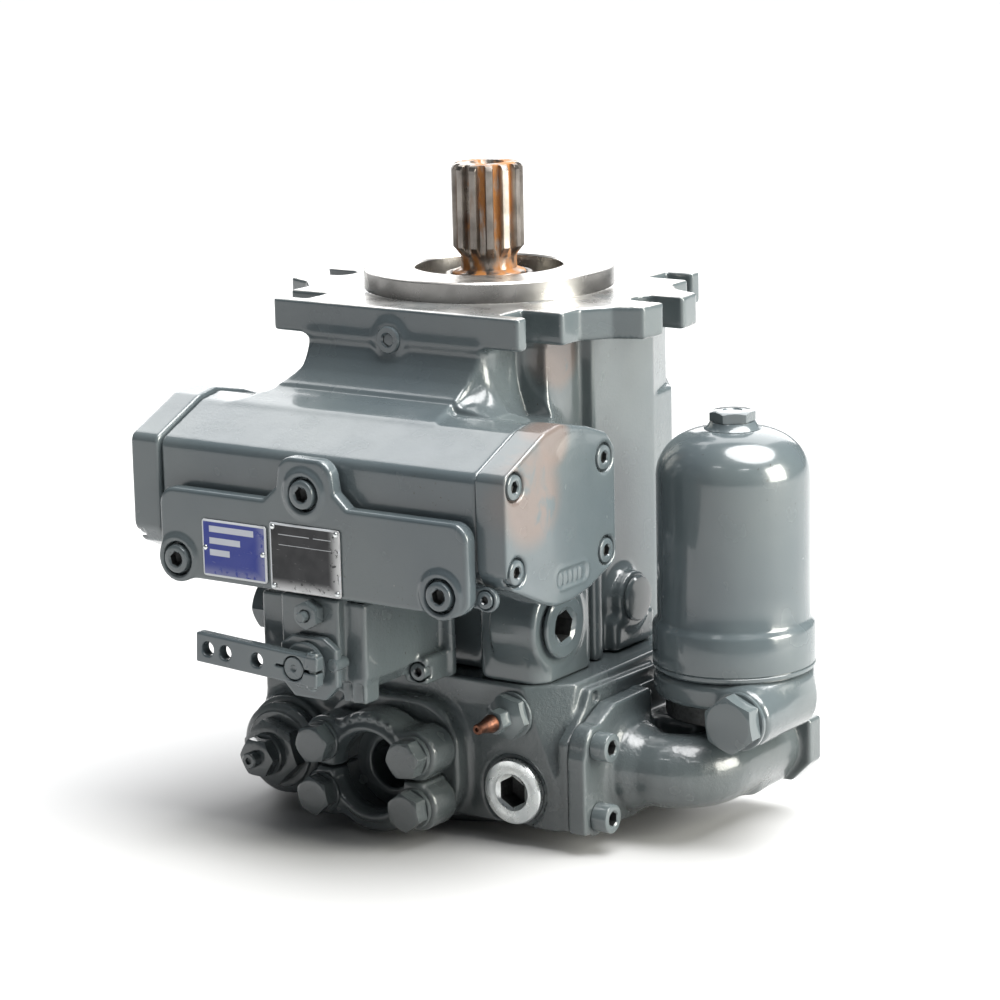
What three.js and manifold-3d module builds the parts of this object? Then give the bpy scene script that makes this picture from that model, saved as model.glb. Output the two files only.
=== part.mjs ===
// Closed-circuit axial piston pump with a variable swashplate and a lever-operated servo control.
// Millimetres. The pump stands on its rear face: z = 0 is that face, +Z runs up the drive shaft,
// X runs along the servo cylinder and -Y is the side that carries the control lever.
import * as THREE from 'three';
import { ConvexGeometry } from 'three/addons/geometries/ConvexGeometry.js';
import { mergeVertices } from 'three/addons/utils/BufferGeometryUtils.js';
import Module from 'manifold-3d';

const wasm = await Module();
wasm.setup();

// Driving dimensions
const FLANGE_Z = 315; // mounting face of the flange
const FLANGE_THICKNESS = 19.5;
const PILOT = { radius: 76.2, height: 12.7, bore: 45.3 };
const BOLT_PITCH = 80.8; // four-bolt slots, half spacing along X and Y
const SLOT_WIDTH = 21.4;
const TWO_BOLT_PITCH = 114.3; // two-bolt slots, half spacing along X
const SHAFT = { spline: 21.85, journal: 22.4, inner: 20, tail: 10, top: FLANGE_Z + 75, teeth: 13 };
const SERVO = { y: -127.5, z: 211, bore: 35, stroke: 9, coverJoint: 113, coverFace: 134 };
const CAVITY = { radius: 78, floor: 98, roof: 285 };
const TILT_Z = 245; // height of the swashplate's tilting axis, which runs along Y
const PISTONS = { count: 9, pitch: 42, radius: 9, bore: 9.8 };
const PORT = { z: 41, boltX: 33.35, boltZ: 15.9, bore: 15, face: -114, seat: 20, seatHeight: 0.8 };
const BLOCK = { bottom: 12, top: 98, halfX: 117.5, halfY: 102 };
const CONTROL = { leverZ: 122, leverFront: -207, leverThickness: 7.5, plateFront: -194, plateBack: -184.3 };
const FILTER = { x: 170.7, y: 0, radius: 45.5, collar: 48.5, collarTop: 122, seat: 99 };
const GAP = 0.3; // clearance between pieces that rest on each other

const FINISH = {
  paint: { color: 0x7b8483, roughness: 0.38, metalness: 0.0 },
  machined: { color: 0xb9b6b0, roughness: 0.3, metalness: 0.9 },
  darkSteel: { color: 0x5a544e, roughness: 0.45, metalness: 0.9 },
  zinc: { color: 0xc4c8c6, roughness: 0.3, metalness: 0.9 },
  copper: { color: 0x8a4b33, roughness: 0.45, metalness: 0.8 },
  bluePlate: { color: 0x34479b, roughness: 0.4, metalness: 0.2 },
  blackPlate: { color: 0x20222a, roughness: 0.5, metalness: 0.2 },
  bronze: { color: 0xa9783f, roughness: 0.4, metalness: 0.8 },
  steel: { color: 0x9da0a2, roughness: 0.35, metalness: 0.9 },
  paper: { color: 0xd9cfb4, roughness: 0.9, metalness: 0.0 },
};

// ---- Solids ----

function solid(geometry) {
  geometry.deleteAttribute('normal');
  geometry.deleteAttribute('uv');
  const merged = mergeVertices(geometry, 1e-4);
  return new wasm.Manifold(
    new wasm.Mesh({
      numProp: 3,
      vertProperties: new Float32Array(merged.attributes.position.array),
      triVerts: new Uint32Array(merged.index.array),
    }),
  );
}

function join(first, ...others) {
  return others.reduce((whole, piece) => whole.add(piece), first);
}

function cut(first, ...others) {
  return others.reduce((whole, piece) => whole.subtract(piece), first);
}

function box([x0, x1], [y0, y1], [z0, z1]) {
  const geometry = new THREE.BoxGeometry(x1 - x0, y1 - y0, z1 - z0);
  geometry.translate((x0 + x1) / 2, (y0 + y1) / 2, (z0 + z1) / 2);
  return solid(geometry);
}

// A round or many-sided bar along an axis. `centre` holds its other two coordinates, in X, Y, Z order.
function rod(axis, centre, radius, from, to, sides = 24, endRadius = radius) {
  const geometry = new THREE.CylinderGeometry(endRadius, radius, to - from, sides);
  const [a, b] = centre;
  const middle = (from + to) / 2;
  if (axis === 'x') {
    geometry.rotateZ(-Math.PI / 2).translate(middle, a, b);
  } else if (axis === 'y') {
    geometry.translate(a, middle, b);
  } else {
    geometry.rotateX(Math.PI / 2).translate(a, b, middle);
  }
  return solid(geometry);
}

function hexBar(axis, centre, acrossFlats, from, to) {
  return rod(axis, centre, acrossFlats / Math.sqrt(3), from, to, 6);
}

// A closed outline through [u, v] or [u, v, radius] corners.
function outline(corners, radius = 0) {
  const shape = new THREE.Shape();
  const count = corners.length;
  corners.forEach(([u, v, own = radius], i) => {
    const corner = new THREE.Vector2(u, v);
    if (own === 0) {
      if (i === 0) shape.moveTo(u, v);
      else shape.lineTo(u, v);
      return;
    }
    const towards = ([a, b]) => {
      const way = new THREE.Vector2(a, b).sub(corner).normalize();
      return way.multiplyScalar(own).add(corner);
    };
    const start = towards(corners[(i + count - 1) % count]);
    const end = towards(corners[(i + 1) % count]);
    if (i === 0) shape.moveTo(start.x, start.y);
    else shape.lineTo(start.x, start.y);
    shape.quadraticCurveTo(u, v, end.x, end.y);
  });
  shape.closePath();
  return shape;
}

// Extrudes an outline along an axis; its coordinates are the other two, in X, Y, Z order.
function prism(axis, shape, from, to, curveSegments = 3) {
  const settings = { depth: to - from, bevelEnabled: false, curveSegments };
  const geometry = new THREE.ExtrudeGeometry(shape, settings);
  const [x, y, z] = [0, 1, 2].map((i) => new THREE.Vector3().setComponent(i, 1));
  const turn = new THREE.Matrix4();
  if (axis === 'x') {
    turn.makeBasis(y, z, x).setPosition(from, 0, 0);
  } else if (axis === 'y') {
    turn.makeBasis(x, z, y.negate()).setPosition(0, to, 0);
  } else {
    turn.setPosition(0, 0, from);
  }
  return solid(geometry.applyMatrix4(turn));
}

// A solid of revolution about Z through (x, y). The [radius, z] profile starts and ends on the axis,
// or repeats its first point at the end, and goes anticlockwise.
function turned([x, y], profile, sides = 24) {
  const points = profile.map(([r, z]) => new THREE.Vector2(r, z));
  return solid(new THREE.LatheGeometry(points, sides).rotateX(Math.PI / 2).translate(x, y, 0));
}

function ring(centre, inner, outer, from, to, sides = 24) {
  const corners = [[inner, from], [outer, from], [outer, to], [inner, to], [inner, from]];
  return turned(centre, corners, sides);
}

// The convex casting between two outlines at two heights.
function taper(lower, zLower, upper, zUpper) {
  const points = lower.map(([x, y]) => new THREE.Vector3(x, y, zLower));
  upper.forEach(([x, y]) => points.push(new THREE.Vector3(x, y, zUpper)));
  return solid(new ConvexGeometry(points));
}

// ---- Meshes ----

const pump = new THREE.Group();

function geometryOf(manifold) {
  const { vertProperties, triVerts } = manifold.getMesh();
  const geometry = new THREE.BufferGeometry();
  geometry.setAttribute('position', new THREE.BufferAttribute(new Float32Array(vertProperties), 3));
  geometry.setIndex(new THREE.BufferAttribute(new Uint32Array(triVerts), 1));
  geometry.computeVertexNormals();
  return geometry;
}

function add(name, geometry, finish, parent = pump) {
  const mesh = new THREE.Mesh(geometry, new THREE.MeshStandardMaterial(FINISH[finish]));
  mesh.name = name;
  parent.add(mesh);
  return mesh;
}

function piece(name, manifold, finish) {
  return add(name, geometryOf(manifold), finish);
}

// Puts a fastener made along +Z at a point, with its head facing `direction`.
function fasten(name, geometry, finish, position, direction) {
  const mesh = add(name, geometry, finish);
  mesh.position.set(...position);
  mesh.quaternion.setFromUnitVectors(new THREE.Vector3(0, 0, 1), new THREE.Vector3(...direction));
  return mesh;
}

// The face under a fastener's head is at z = 0.
function socketScrew({ head, height, shank, length, socket }) {
  const body = join(rod('z', [0, 0], head, 0, height, 14), rod('z', [0, 0], shank, -length, 1, 8));
  return geometryOf(cut(body, hexBar('z', [0, 0], socket, height * 0.35, height + 1)));
}

function hexBolt({ flats, height, shank, length, washer }) {
  const parts = [hexBar('z', [0, 0], flats, 0, height), rod('z', [0, 0], shank, -length, 1, 8)];
  if (washer) parts.push(rod('z', [0, 0], washer, 0, 2.5, 16));
  return geometryOf(join(...parts));
}

// A threaded plug with a round head and a hexagon socket.
function socketPlug({ head, height, thread, length, socket }) {
  return socketScrew({ head, height, shank: thread, length, socket });
}

const clearHole = (radius) => (radius + 0.4) / Math.cos(Math.PI / 8);

// ---- Fasteners ----

const COVER_SCREW = { head: 7.6, height: 6, shank: 4.5, length: 30, socket: 6.5 };
const PLATE_SCREW = { head: 9, height: 8, shank: 5, length: 22, socket: 8 };
const MANIFOLD_SCREW = { head: 9, height: 11, shank: 5, length: 26, socket: 8 };
const FLANGE_BOLT = { flats: 21, height: 12, shank: 6.8, length: 42, washer: 12.5 };
const coverScrewSpots = [[-173.7, 235.5], [-82.1, 235.8], [-173.2, 187], [-80.8, 180.8]];
const plateScrewSpots = [[2, 221.8], [-92.2, 173.5], [95.9, 173.7]];
const manifoldScrewSpots = [[-89, 65], [-89, 22]];
const portBoltSpots = [-1, 1].flatMap((x) => [-1, 1].map((z) => [x * PORT.boltX, PORT.z + z * PORT.boltZ]));

// ---- Housing ----

// Six-slot mounting flange: four slots and two ears with a slot each, all open at the sides.
function flangePlate() {
  const half = SLOT_WIDTH / 2;
  const quarter = [
    [131, half + 4, 3],
    [128, half + 22, 6],
    [110, half + 26, 3],
    [98.7, 53, 3],
    [98.7, BOLT_PITCH - half, 2],
    [BOLT_PITCH, BOLT_PITCH - half],
    [BOLT_PITCH - half, BOLT_PITCH - half, 9],
    [BOLT_PITCH - half, BOLT_PITCH + half, 9],
    [BOLT_PITCH, BOLT_PITCH + half],
    [88.7, BOLT_PITCH + half, 2],
    [88.7, 101, 4],
  ];
  const mirrored = (sx, sy) => quarter.map(([x, y, r]) => [x * sx, y * sy, r]);
  const corners = [
    ...mirrored(1, 1),
    ...mirrored(-1, 1).reverse(),
    ...mirrored(-1, -1),
    ...mirrored(1, -1).reverse(),
  ];
  const plate = prism('z', outline(corners), FLANGE_Z - FLANGE_THICKNESS, FLANGE_Z);
  const slots = [-1, 1].map((side) => {
    const inner = TWO_BOLT_PITCH - half;
    const mouth = [[inner, -half, 9], [inner, half, 9], [140, half], [140, -half]];
    const corner = mouth.map(([x, y, r]) => [x * side, y, r]);
    return prism('z', outline(corner), FLANGE_Z - FLANGE_THICKNESS - 1, FLANGE_Z + 1);
  });
  return cut(plate, ...slots);
}

// Section of the servo cylinder across X, as [y, z]; `inset` draws it in on every side.
function servoSection(inset) {
  const centre = [-127, 208];
  const corners = [
    [-184, 187, 4], [-184, 242, 6], [-143, 260.5, 6], [-127, 263, 6], [-99, 257, 6], [-79, 250, 6],
    [-70.5, 240, 4], [-70.5, 173, 4], [-99, 162.5, 5], [-117, 159, 5], [-135, 159, 5], [-147, 163, 4],
    [-177, 177, 4],
  ];
  const shrink = 1 - inset / 54;
  const drawn = (at, middle) => middle + (at - middle) * shrink;
  return corners.map(([y, z, r]) => [drawn(y, centre[0]), drawn(z, centre[1]), r]);
}

// Section of the rotary-group shell across Z, as [x, y].
const SHELL = [
  [-84, -84], [84, -84], [88, -22], [88, 46], [84, 74], [62, 104], [38, 114],
  [-38, 114], [-62, 104], [-84, 74], [-88, 46], [-88, -22],
];
const NECK = [
  [-58, -98.5], [58, -98.5], [63, -92], [64, -62], [80, -60], [80, -24], [87, -22], [87, 44],
  [80, 74], [58, 101], [36, 110], [-36, 110], [-58, 101], [-80, 74], [-87, 44], [-87, -22],
  [-80, -24], [-80, -60], [-64, -62], [-63, -92],
];
// Sections of the foot that spreads the neck's front onto the servo cylinder, from the bottom up.
const FOOT_LOW = [[-94, -134], [94, -134], [94, -62], [-94, -62]];
const FOOT_MIDDLE = [[-72, -112], [72, -112], [72, -62], [-72, -62]];
const FOOT_TOP = [[-60, -98.5], [60, -98.5], [60, -62], [-60, -62]];
const SIDE_BODY = [[50, -104, 2], [100, -104, 12], [100, -38, 4], [50, -38, 2]];
const SIDE_PLUG = { y: -80, z: 131.5, recess: 22.5, head: 19, face: 98.6 };
const PIN_CAP = { y: 5, z: 129.5, radius: 14, face: 99 };
const FLANGE_PLUG = { x: 0, z: 296, radius: 8.2, face: -101 };

function housing() {
  const castings = [
    flangePlate(),
    rod('z', [0, 0], PILOT.radius, FLANGE_Z - 1, FLANGE_Z + PILOT.height, 48),
    prism('z', outline(NECK), 240, FLANGE_Z - FLANGE_THICKNESS + 1),
    taper(FOOT_LOW, 250, FOOT_MIDDLE, 264),
    taper(FOOT_MIDDLE, 263.9, FOOT_TOP, 282),
    prism('z', outline(SHELL), CAVITY.floor + GAP, 262),
    prism('x', outline(servoSection(2.5)), -SERVO.coverJoint + GAP, SERVO.coverJoint - GAP),
    prism('z', outline(SIDE_BODY), CAVITY.floor + GAP, 165),
    rod('x', [PIN_CAP.y, PIN_CAP.z], 17, 60, PIN_CAP.face - GAP, 20),
    prism('x', outline([[-12, 98.3], [24, 98.3], [22, 130], [-10, 130]], 6), 60, 95),
  ];
  const screwHoles = coverScrewSpots.flatMap(([y, z]) =>
    [-1, 1].map((side) => {
      const ends = [side * (SERVO.coverJoint - 14), side * (SERVO.coverJoint + 1)].sort((a, b) => a - b);
      return rod('x', [y, z], clearHole(COVER_SCREW.shank), ...ends, 8);
    }),
  );
  const plateHole = clearHole(PLATE_SCREW.shank);
  const plateHoles = plateScrewSpots.map(([x, z]) => rod('y', [x, z], plateHole, -185, -160, 8));
  return cut(
    join(...castings),
    rod('z', [0, 0], CAVITY.radius, CAVITY.floor - 1, CAVITY.roof, 28),
    rod('z', [0, 0], 36, CAVITY.roof - 1, 306, 24),
    rod('z', [0, 0], PILOT.bore, 305, FLANGE_Z + PILOT.height + 1, 32),
    rod('x', [SERVO.y, SERVO.z], SERVO.bore, -SERVO.coverJoint - 1, SERVO.coverJoint + 1, 28),
    box([-26, 26], [-112, -70], [194, 250]),
    rod('x', [SIDE_PLUG.y, SIDE_PLUG.z], SIDE_PLUG.recess, SIDE_PLUG.face, 101, 28),
    rod('x', [SIDE_PLUG.y, SIDE_PLUG.z], 15.5, 76, SIDE_PLUG.face + 1, 16),
    rod('y', [FLANGE_PLUG.x, FLANGE_PLUG.z], 7.2, FLANGE_PLUG.face - 2, FLANGE_PLUG.face + 16, 16),
    ...screwHoles,
    ...plateHoles,
  );
}

// ---- Servo cylinder ends, control and name plates ----

function servoCover(side) {
  const inner = side * (SERVO.coverJoint + GAP);
  const outer = side * SERVO.coverFace;
  const ends = [inner, outer].sort((a, b) => a - b);
  const plate = prism('x', outline(servoSection(0)), ...ends);
  const holes = coverScrewSpots.flatMap(([y, z]) => {
    const seat = side * (SERVO.coverFace - 4);
    const sink = [seat, outer + side].sort((a, b) => a - b);
    const through = [inner - side, outer].sort((a, b) => a - b);
    return [
      rod('x', [y, z], COVER_SCREW.head + 1, ...sink, 14),
      rod('x', [y, z], clearHole(COVER_SCREW.shank), ...through, 8),
    ];
  });
  return cut(plate, ...holes);
}

function controlCoverPlate() {
  const corners = [
    [-105.5, 162.5, 14], [114.5, 162.5, 14], [114.5, 216, 14], [34, 216, 12], [22.5, 226, 6],
    [19, 242.5, 14], [-15, 242.5, 14], [-18.5, 226, 6], [-30, 216, 12], [-105.5, 216, 14],
  ];
  const plate = prism('y', outline(corners), CONTROL.plateFront, CONTROL.plateBack);
  const holes = plateScrewSpots.flatMap(([x, z]) => [
    rod('y', [x, z], PLATE_SCREW.head + 1, CONTROL.plateFront - 1, CONTROL.plateFront + 5, 14),
    rod('y', [x, z], clearHole(PLATE_SCREW.shank), CONTROL.plateFront, CONTROL.plateBack + 1, 8),
  ]);
  return cut(plate, ...holes);
}

const NAME_PLATES = {
  blue_name_plate: { x: [-72, -27], z: [168.5, 203], finish: 'bluePlate' },
  black_name_plate: { x: [-21.5, 26], z: [166.5, 207], finish: 'blackPlate' },
};

function namePlate({ x, z }) {
  const corners = [[x[0], z[0]], [x[1], z[0]], [x[1], z[1]], [x[0], z[1]]];
  return prism('y', outline(corners, 2), CONTROL.plateFront - 1.3, CONTROL.plateFront - GAP);
}

const VALVE = { halfX: 34, front: -183, back: -103, bottom: 104, top: 158.3, pad: -190 };
const STUD = { x: 3, z: 151.5, radius: 3.2, nut: 15 };

function controlValveBlock() {
  const shaftHole = rod('y', [0, CONTROL.leverZ], 7.6, -198, -150, 20);
  const studHole = rod('y', [STUD.x, STUD.z], STUD.radius + 0.6, -192, -165, 12);
  const block = join(
    prism('y', outline([[-VALVE.halfX, 110], [VALVE.halfX, 110], [VALVE.halfX, VALVE.top], [-VALVE.halfX, VALVE.top]], 3),
      VALVE.front, VALVE.back),
    box([-20.5, 20.5], [VALVE.pad, VALVE.front + 1], [116, VALVE.top + 3]),
    box([-27, 27], [-176, VALVE.back], [VALVE.bottom, 112]),
    box([-42, 42], [-107, VALVE.back], [100, VALVE.top]),
  );
  return cut(block, shaftHole, studHole, box([24, 43], [-122, -108], [98, 112]));
}

function controlGuardPlate() {
  const half = 20;
  const bevel = 9;
  const [x, z] = [3, CONTROL.leverZ];
  const corners = [
    [x - half, z - half + bevel], [x - half + bevel, z - half], [x + half - bevel, z - half],
    [x + half, z - half + bevel], [x + half, z + half - bevel], [x + half - bevel, z + half - 3],
    [x - half + bevel, z + half - 3], [x - half, z + half - bevel],
  ];
  const plate = prism('y', outline(corners, 2), VALVE.pad - 6, VALVE.pad - GAP);
  return cut(plate, rod('y', [0, z], 7.6, -200, -180, 20));
}

const LEVER = { tip: -71.4, end: 16.7, halfHeight: 9, holes: [-62.7, -49.8, -26.6], holeRadius: 4.3, tilt: 3 };

// Turns a piece drawn level to the angle at which the lever is clamped on its shaft.
function atLeverAngle(manifold) {
  const geometry = geometryOf(manifold);
  const turn = THREE.MathUtils.degToRad(LEVER.tilt);
  return geometry.translate(0, 0, -CONTROL.leverZ).rotateY(turn).translate(0, 0, CONTROL.leverZ);
}

function controlLever() {
  const { leverFront: front, leverThickness: thickness, leverZ: z } = CONTROL;
  const corners = [
    [LEVER.tip, z - LEVER.halfHeight], [LEVER.end, z - LEVER.halfHeight],
    [LEVER.end, z + LEVER.halfHeight], [LEVER.tip, z + LEVER.halfHeight],
  ];
  const bar = prism('y', outline(corners, 1), front, front + thickness);
  const holes = LEVER.holes.map((x) => rod('y', [x, z], LEVER.holeRadius, front - 1, front + thickness + 1, 16));
  return cut(
    bar,
    ...holes,
    rod('y', [0, z], 7.4, front - 1, front + thickness + 1, 20),
    box([6, LEVER.end + 1], [front - 1, front + thickness + 1], [z - 0.6, z + 0.6]),
    rod('z', [11.5, front + thickness / 2], 2.9, z - LEVER.halfHeight - 1, z + LEVER.halfHeight + 1, 12),
  );
}

function clampScrew() {
  const [x, y] = [11.5, CONTROL.leverFront + CONTROL.leverThickness / 2];
  const low = CONTROL.leverZ - LEVER.halfHeight;
  const high = CONTROL.leverZ + LEVER.halfHeight;
  return join(
    rod('z', [x, y], 5, high + GAP, high + 5, 16),
    rod('z', [x, y], 2.3, low - 2, high + 1, 12),
    rod('z', [x, y], 4.6, low - 4.5, low - GAP, 6),
  );
}

// ---- Rear end: port block, split flange, valves ----

const ZINC_PLUG = { x: 80, z: 33, head: 19.7 };
const RELIEF = { x: -80, z: 40 };
const BLEED = { x: 80, z: 80 };
const SUCTION_BORE = { y: -50, z: 43, radius: 16 };

function portBlock() {
  const { halfX, halfY, bottom, top } = BLOCK;
  const body = [
    [-halfX, -halfY + 22], [-halfX + 14, -halfY], [112, -halfY], [112, 34], [halfX - 16, 76],
    [halfX - 46, halfY], [-halfX + 46, halfY], [-halfX + 16, 76], [-halfX, 40],
  ];
  const pad = [[-48, 7], [48, 7], [48, 83], [-48, 83]];
  const manifoldPad = [
    [-101.5, 12.5], [-101.5, 67], [-91, 75], [-82, 84], [-76, 94], [0, 92], [28, 60], [28, 12.5],
  ];
  const castings = [
    prism('z', outline(body, 6), bottom, top),
    rod('z', [0, 0], 76.5, top - 1, 110, 28),
    prism('y', outline(pad, 30), PORT.face, -halfY + 1),
    prism('y', outline(pad, 30), halfY - 1, -PORT.face),
    rod('y', [0, PORT.z], PORT.seat, PORT.face - PORT.seatHeight, PORT.face + 1, 20),
    rod('y', [0, PORT.z], PORT.seat, -PORT.face - 1, -PORT.face + PORT.seatHeight, 20),
    prism('x', outline(manifoldPad, 4), 100, halfX),
    rod('y', [RELIEF.x, RELIEF.z], 31, -112, -halfY + 1, 28),
  ];
  // The front right corner is bevelled, more deeply at the top.
  const bevelTop = [[82, -104], [122, -104], [122, -92], [112.3, -84]];
  const bevelBottom = [[110, -104], [122, -104], [122, -101.6]];
  const portBores = [-1, 1].flatMap((side) => {
    const [from, to] = side < 0 ? [PORT.face - 2, -48] : [48, -PORT.face + 2];
    const holes = portBoltSpots.map(([x, z]) => {
      const [start, stop] = side < 0 ? [PORT.face - 1, -90] : [90, -PORT.face + 1];
      return rod('y', [x, z], clearHole(FLANGE_BOLT.shank), start, stop, 8);
    });
    return [
      rod('y', [0, PORT.z], PORT.bore, from, to, 20),
      rod('z', [0, side * 48], 11, PORT.z, 111, 12),
      ...holes,
    ];
  });
  const manifoldHole = clearHole(MANIFOLD_SCREW.shank);
  const manifoldHoles = manifoldScrewSpots.map(([y, z]) => rod('x', [y, z], manifoldHole, 100, 119, 8));
  return cut(
    join(...castings),
    taper(bevelBottom, 36, bevelTop, 99),
    rod('z', [0, 0], 20.8, 27, 111, 16),
    rod('z', [0, 0], 30.6, 85, 111, 20),
    rod('z', [CHARGE.offset, 0], CHARGE.ringRadius + 0.8, bottom - 1, 28, 20),
    rod('x', [SUCTION_BORE.y, SUCTION_BORE.z], SUCTION_BORE.radius, 70, halfX + 1, 16),
    rod('y', [ZINC_PLUG.x, ZINC_PLUG.z], ZINC_PLUG.head + 2, -halfY - 1, -halfY + 2, 24),
    rod('y', [ZINC_PLUG.x, ZINC_PLUG.z], 16.8, -halfY, -84, 16),
    rod('y', [BLEED.x, BLEED.z], 7.8, -halfY - 1, -88, 10),
    rod('y', [RELIEF.x, RELIEF.z], 15.9, -113, -72, 14),
    ...portBores,
    ...manifoldHoles,
  );
}

// One half of the split flange clamp; `side` is +1 for the upper half.
function splitFlange(side) {
  const corners = [
    [-48, GAP * 2, 2], [48, GAP * 2, 2], [48, 26, 11], [30, 38, 8], [18, 39, 3], [-18, 39, 3],
    [-30, 38, 8], [-48, 26, 11],
  ].map(([x, z, r]) => [x, PORT.z + side * z, r]);
  const front = PORT.face - 24;
  const back = PORT.face - GAP;
  const half = prism('y', outline(corners), front, back);
  const bolts = portBoltSpots
    .filter(([, z]) => (z - PORT.z) * side > 0)
    .map(([x, z]) => rod('y', [x, z], clearHole(FLANGE_BOLT.shank), front - 1, back + 1, 8));
  return cut(
    half,
    rod('y', [0, PORT.z], 23.5, front - 1, back + 1, 28),
    rod('y', [0, PORT.z], 25.5, PORT.face - 12, back + 1, 28),
    ...bolts,
  );
}

const CHARGE = { offset: -6, ringRadius: 31, from: 12.4, to: 27.5 };

function chargePumpCover() {
  const plate = rod('z', [0, 0], 86, 0, BLOCK.bottom - GAP, 32);
  return cut(plate, ring([0, 0], 60, 74, -1, 2.5, 24));
}

function reliefCartridge() {
  const at = [RELIEF.x, RELIEF.z];
  return join(
    rod('y', at, 15, -113, -74, 20),
    rod('y', at, 28, -120, -112.3, 24),
    rod('y', at, 24, -122, -119, 24, 27),
    hexBar('y', at, 36, -132, -121),
    rod('y', at, 13, -137, -131, 20),
  );
}

function reliefAdjuster() {
  const at = [RELIEF.x, RELIEF.z];
  return join(hexBar('y', at, 22, -145, -137.3), rod('y', at, 5, -152, -144, 12));
}

function bleedFitting() {
  const at = [BLEED.x, BLEED.z];
  return join(
    rod('y', at, 7, -103, -89, 16),
    rod('y', at, 14, -104.5, -102.3, 24),
    hexBar('y', at, 24, -115, -104),
    hexBar('y', at, 13, -124, -114),
  );
}

function bleedTip() {
  const at = [BLEED.x, BLEED.z];
  return join(rod('y', at, 3.4, -133, -124.3, 16, 5.6), rod('y', at, 3.2, -139, -132, 12));
}

// ---- Suction manifold and filter ----

function suctionManifold() {
  const screwHole = clearHole(MANIFOLD_SCREW.shank);
  const plate = [
    [-103, 12.5, 4], [-103, 59, 6], [-99, 69.3, 4], [-80.5, 79.6, 4], [-67.5, 85.4, 4], [-27, 85.4, 4],
    [-27, 12.5, 4],
  ];
  const web = [[-34, 12.5, 4], [-34, 85.4, 4], [-5, 85.4, 4], [26, 57, 4], [26, 12.5, 4]];
  const face = BLOCK.halfX + GAP;
  const { y, z } = SUCTION_BORE;
  const path = new THREE.CurvePath();
  const [start, bend, turn, end] = [
    new THREE.Vector3(face + 11, y, z), new THREE.Vector3(148, y, z),
    new THREE.Vector3(174, -24, z), new THREE.Vector3(174, 34, z),
  ];
  path.add(new THREE.LineCurve3(start, bend));
  path.add(new THREE.QuadraticBezierCurve3(bend, new THREE.Vector3(174, y, z), turn));
  path.add(new THREE.LineCurve3(turn, end));
  const tube = (radius) => {
    const section = new THREE.Shape().absarc(0, 0, radius, 0, Math.PI * 2);
    const geometry = new THREE.ExtrudeGeometry(section, { steps: 12, extrudePath: path, curveSegments: 9 });
    return solid(geometry);
  };
  const port = [
    [150, 20, 4], [190, 20, 4], [203, 33, 4], [203, 60, 3], [184, 60, 3], [176, 66, 3], [150, 66, 3],
  ];
  return cut(
    join(
      prism('x', outline(plate), face, face + 12),
      prism('x', outline(web), face, face + 4),
      tube(22),
      prism('y', outline(port), 32, 48),
      box([142, 168], [-30, 34], [17, 34]),
      box([158, 188], [-6, 34], [21, 60]),
      rod('z', [FILTER.x - 6, FILTER.y], 18, 24, 70, 24),
    ),
    rod('x', [y, z], 16, face - 1, face + 20, 20),
    rod('y', [174, z], 16, 20, 49, 20),
    rod('z', [FILTER.x - 6, FILTER.y], 9, 40, 71, 16),
    ...manifoldScrewSpots.map((spot) => rod('x', spot, screwHole, face - 1, face + 13, 8)),
  );
}

const HEAD_PLUG = { x: 202, z: 80, flats: 30, face: -47 };

function filterHead() {
  const at = [FILTER.x, FILTER.y];
  const foot = 70 + GAP;
  const top = FILTER.seat - GAP;
  const body = turned(at, [[0, foot], [30, foot], [40, 73], [46, 79], [48, 86], [48, top], [0, top]], 32);
  return cut(
    join(
      body,
      rod('y', [HEAD_PLUG.x, HEAD_PLUG.z], 18, HEAD_PLUG.face, 14, 28),
      rod('z', at, 12, 85, 108, 20),
    ),
    rod('z', at, 7, 69, 109, 16),
    rod('y', [HEAD_PLUG.x, HEAD_PLUG.z], 10.6, HEAD_PLUG.face - 1, -20, 20),
  );
}

function filterBowl() {
  const { radius: r, collar, collarTop, seat } = FILTER;
  const wall = 4;
  const dome = (outer, base, height) => {
    const steps = [0.25, 0.5, 0.78, 1];
    return steps.map((t) => {
      const angle = (t * Math.PI) / 2;
      return [outer * Math.cos(angle) ** 0.7, base + height * Math.sin(angle)];
    });
  };
  const outer = [[collar, seat], [collar, collarTop - 2], [r, collarTop], [r, 214], ...dome(r, 214, 29)];
  outer[outer.length - 1][0] = 0;
  const inner = [[r - wall, seat], [r - wall, 212], ...dome(r - wall, 212, 25)];
  inner[inner.length - 1][0] = 0;
  const shell = turned([FILTER.x, FILTER.y], [[0, seat], ...outer], 32);
  return cut(shell, turned([FILTER.x, FILTER.y], [[0, seat - 1], [r - wall, seat - 1], ...inner.slice(1)], 20));
}

// ---- Drive shaft and rotary group ----

function driveShaft() {
  const { spline, journal, inner, tail, top, teeth } = SHAFT;
  const core = turned([0, 0], [
    [0, 13], [tail, 13], [tail, 30], [inner, 32], [inner, 258], [journal, 260], [journal, 324], [17, 326],
    [17, 334], [0, 334],
  ]);
  const root = spline - 4;
  const corners = [];
  for (let i = 0; i < teeth; i++) {
    const flank = (radius, share) => {
      const angle = ((i + share) / teeth) * Math.PI * 2 + THREE.MathUtils.degToRad(-52.5);
      return [radius * Math.cos(angle), radius * Math.sin(angle)];
    };
    corners.push(flank(root, -0.3), flank(spline, -0.18), flank(spline, 0.18), flank(root, 0.3));
  }
  const splined = prism('z', outline(corners), 331, top);
  const bevels = turned([0, 0], [
    [0, 330], [18, 330], [spline + 0.3, 334], [spline + 0.3, top - 2.5], [spline - 2.2, top], [0, top],
  ]);
  return cut(join(core, splined.intersect(bevels)), rod('z', [0, 0], 4, top - 22, top + 1, 16),
    rod('z', [0, 0], 8, top - 5, top + 0.5, 20, 11));
}

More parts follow.
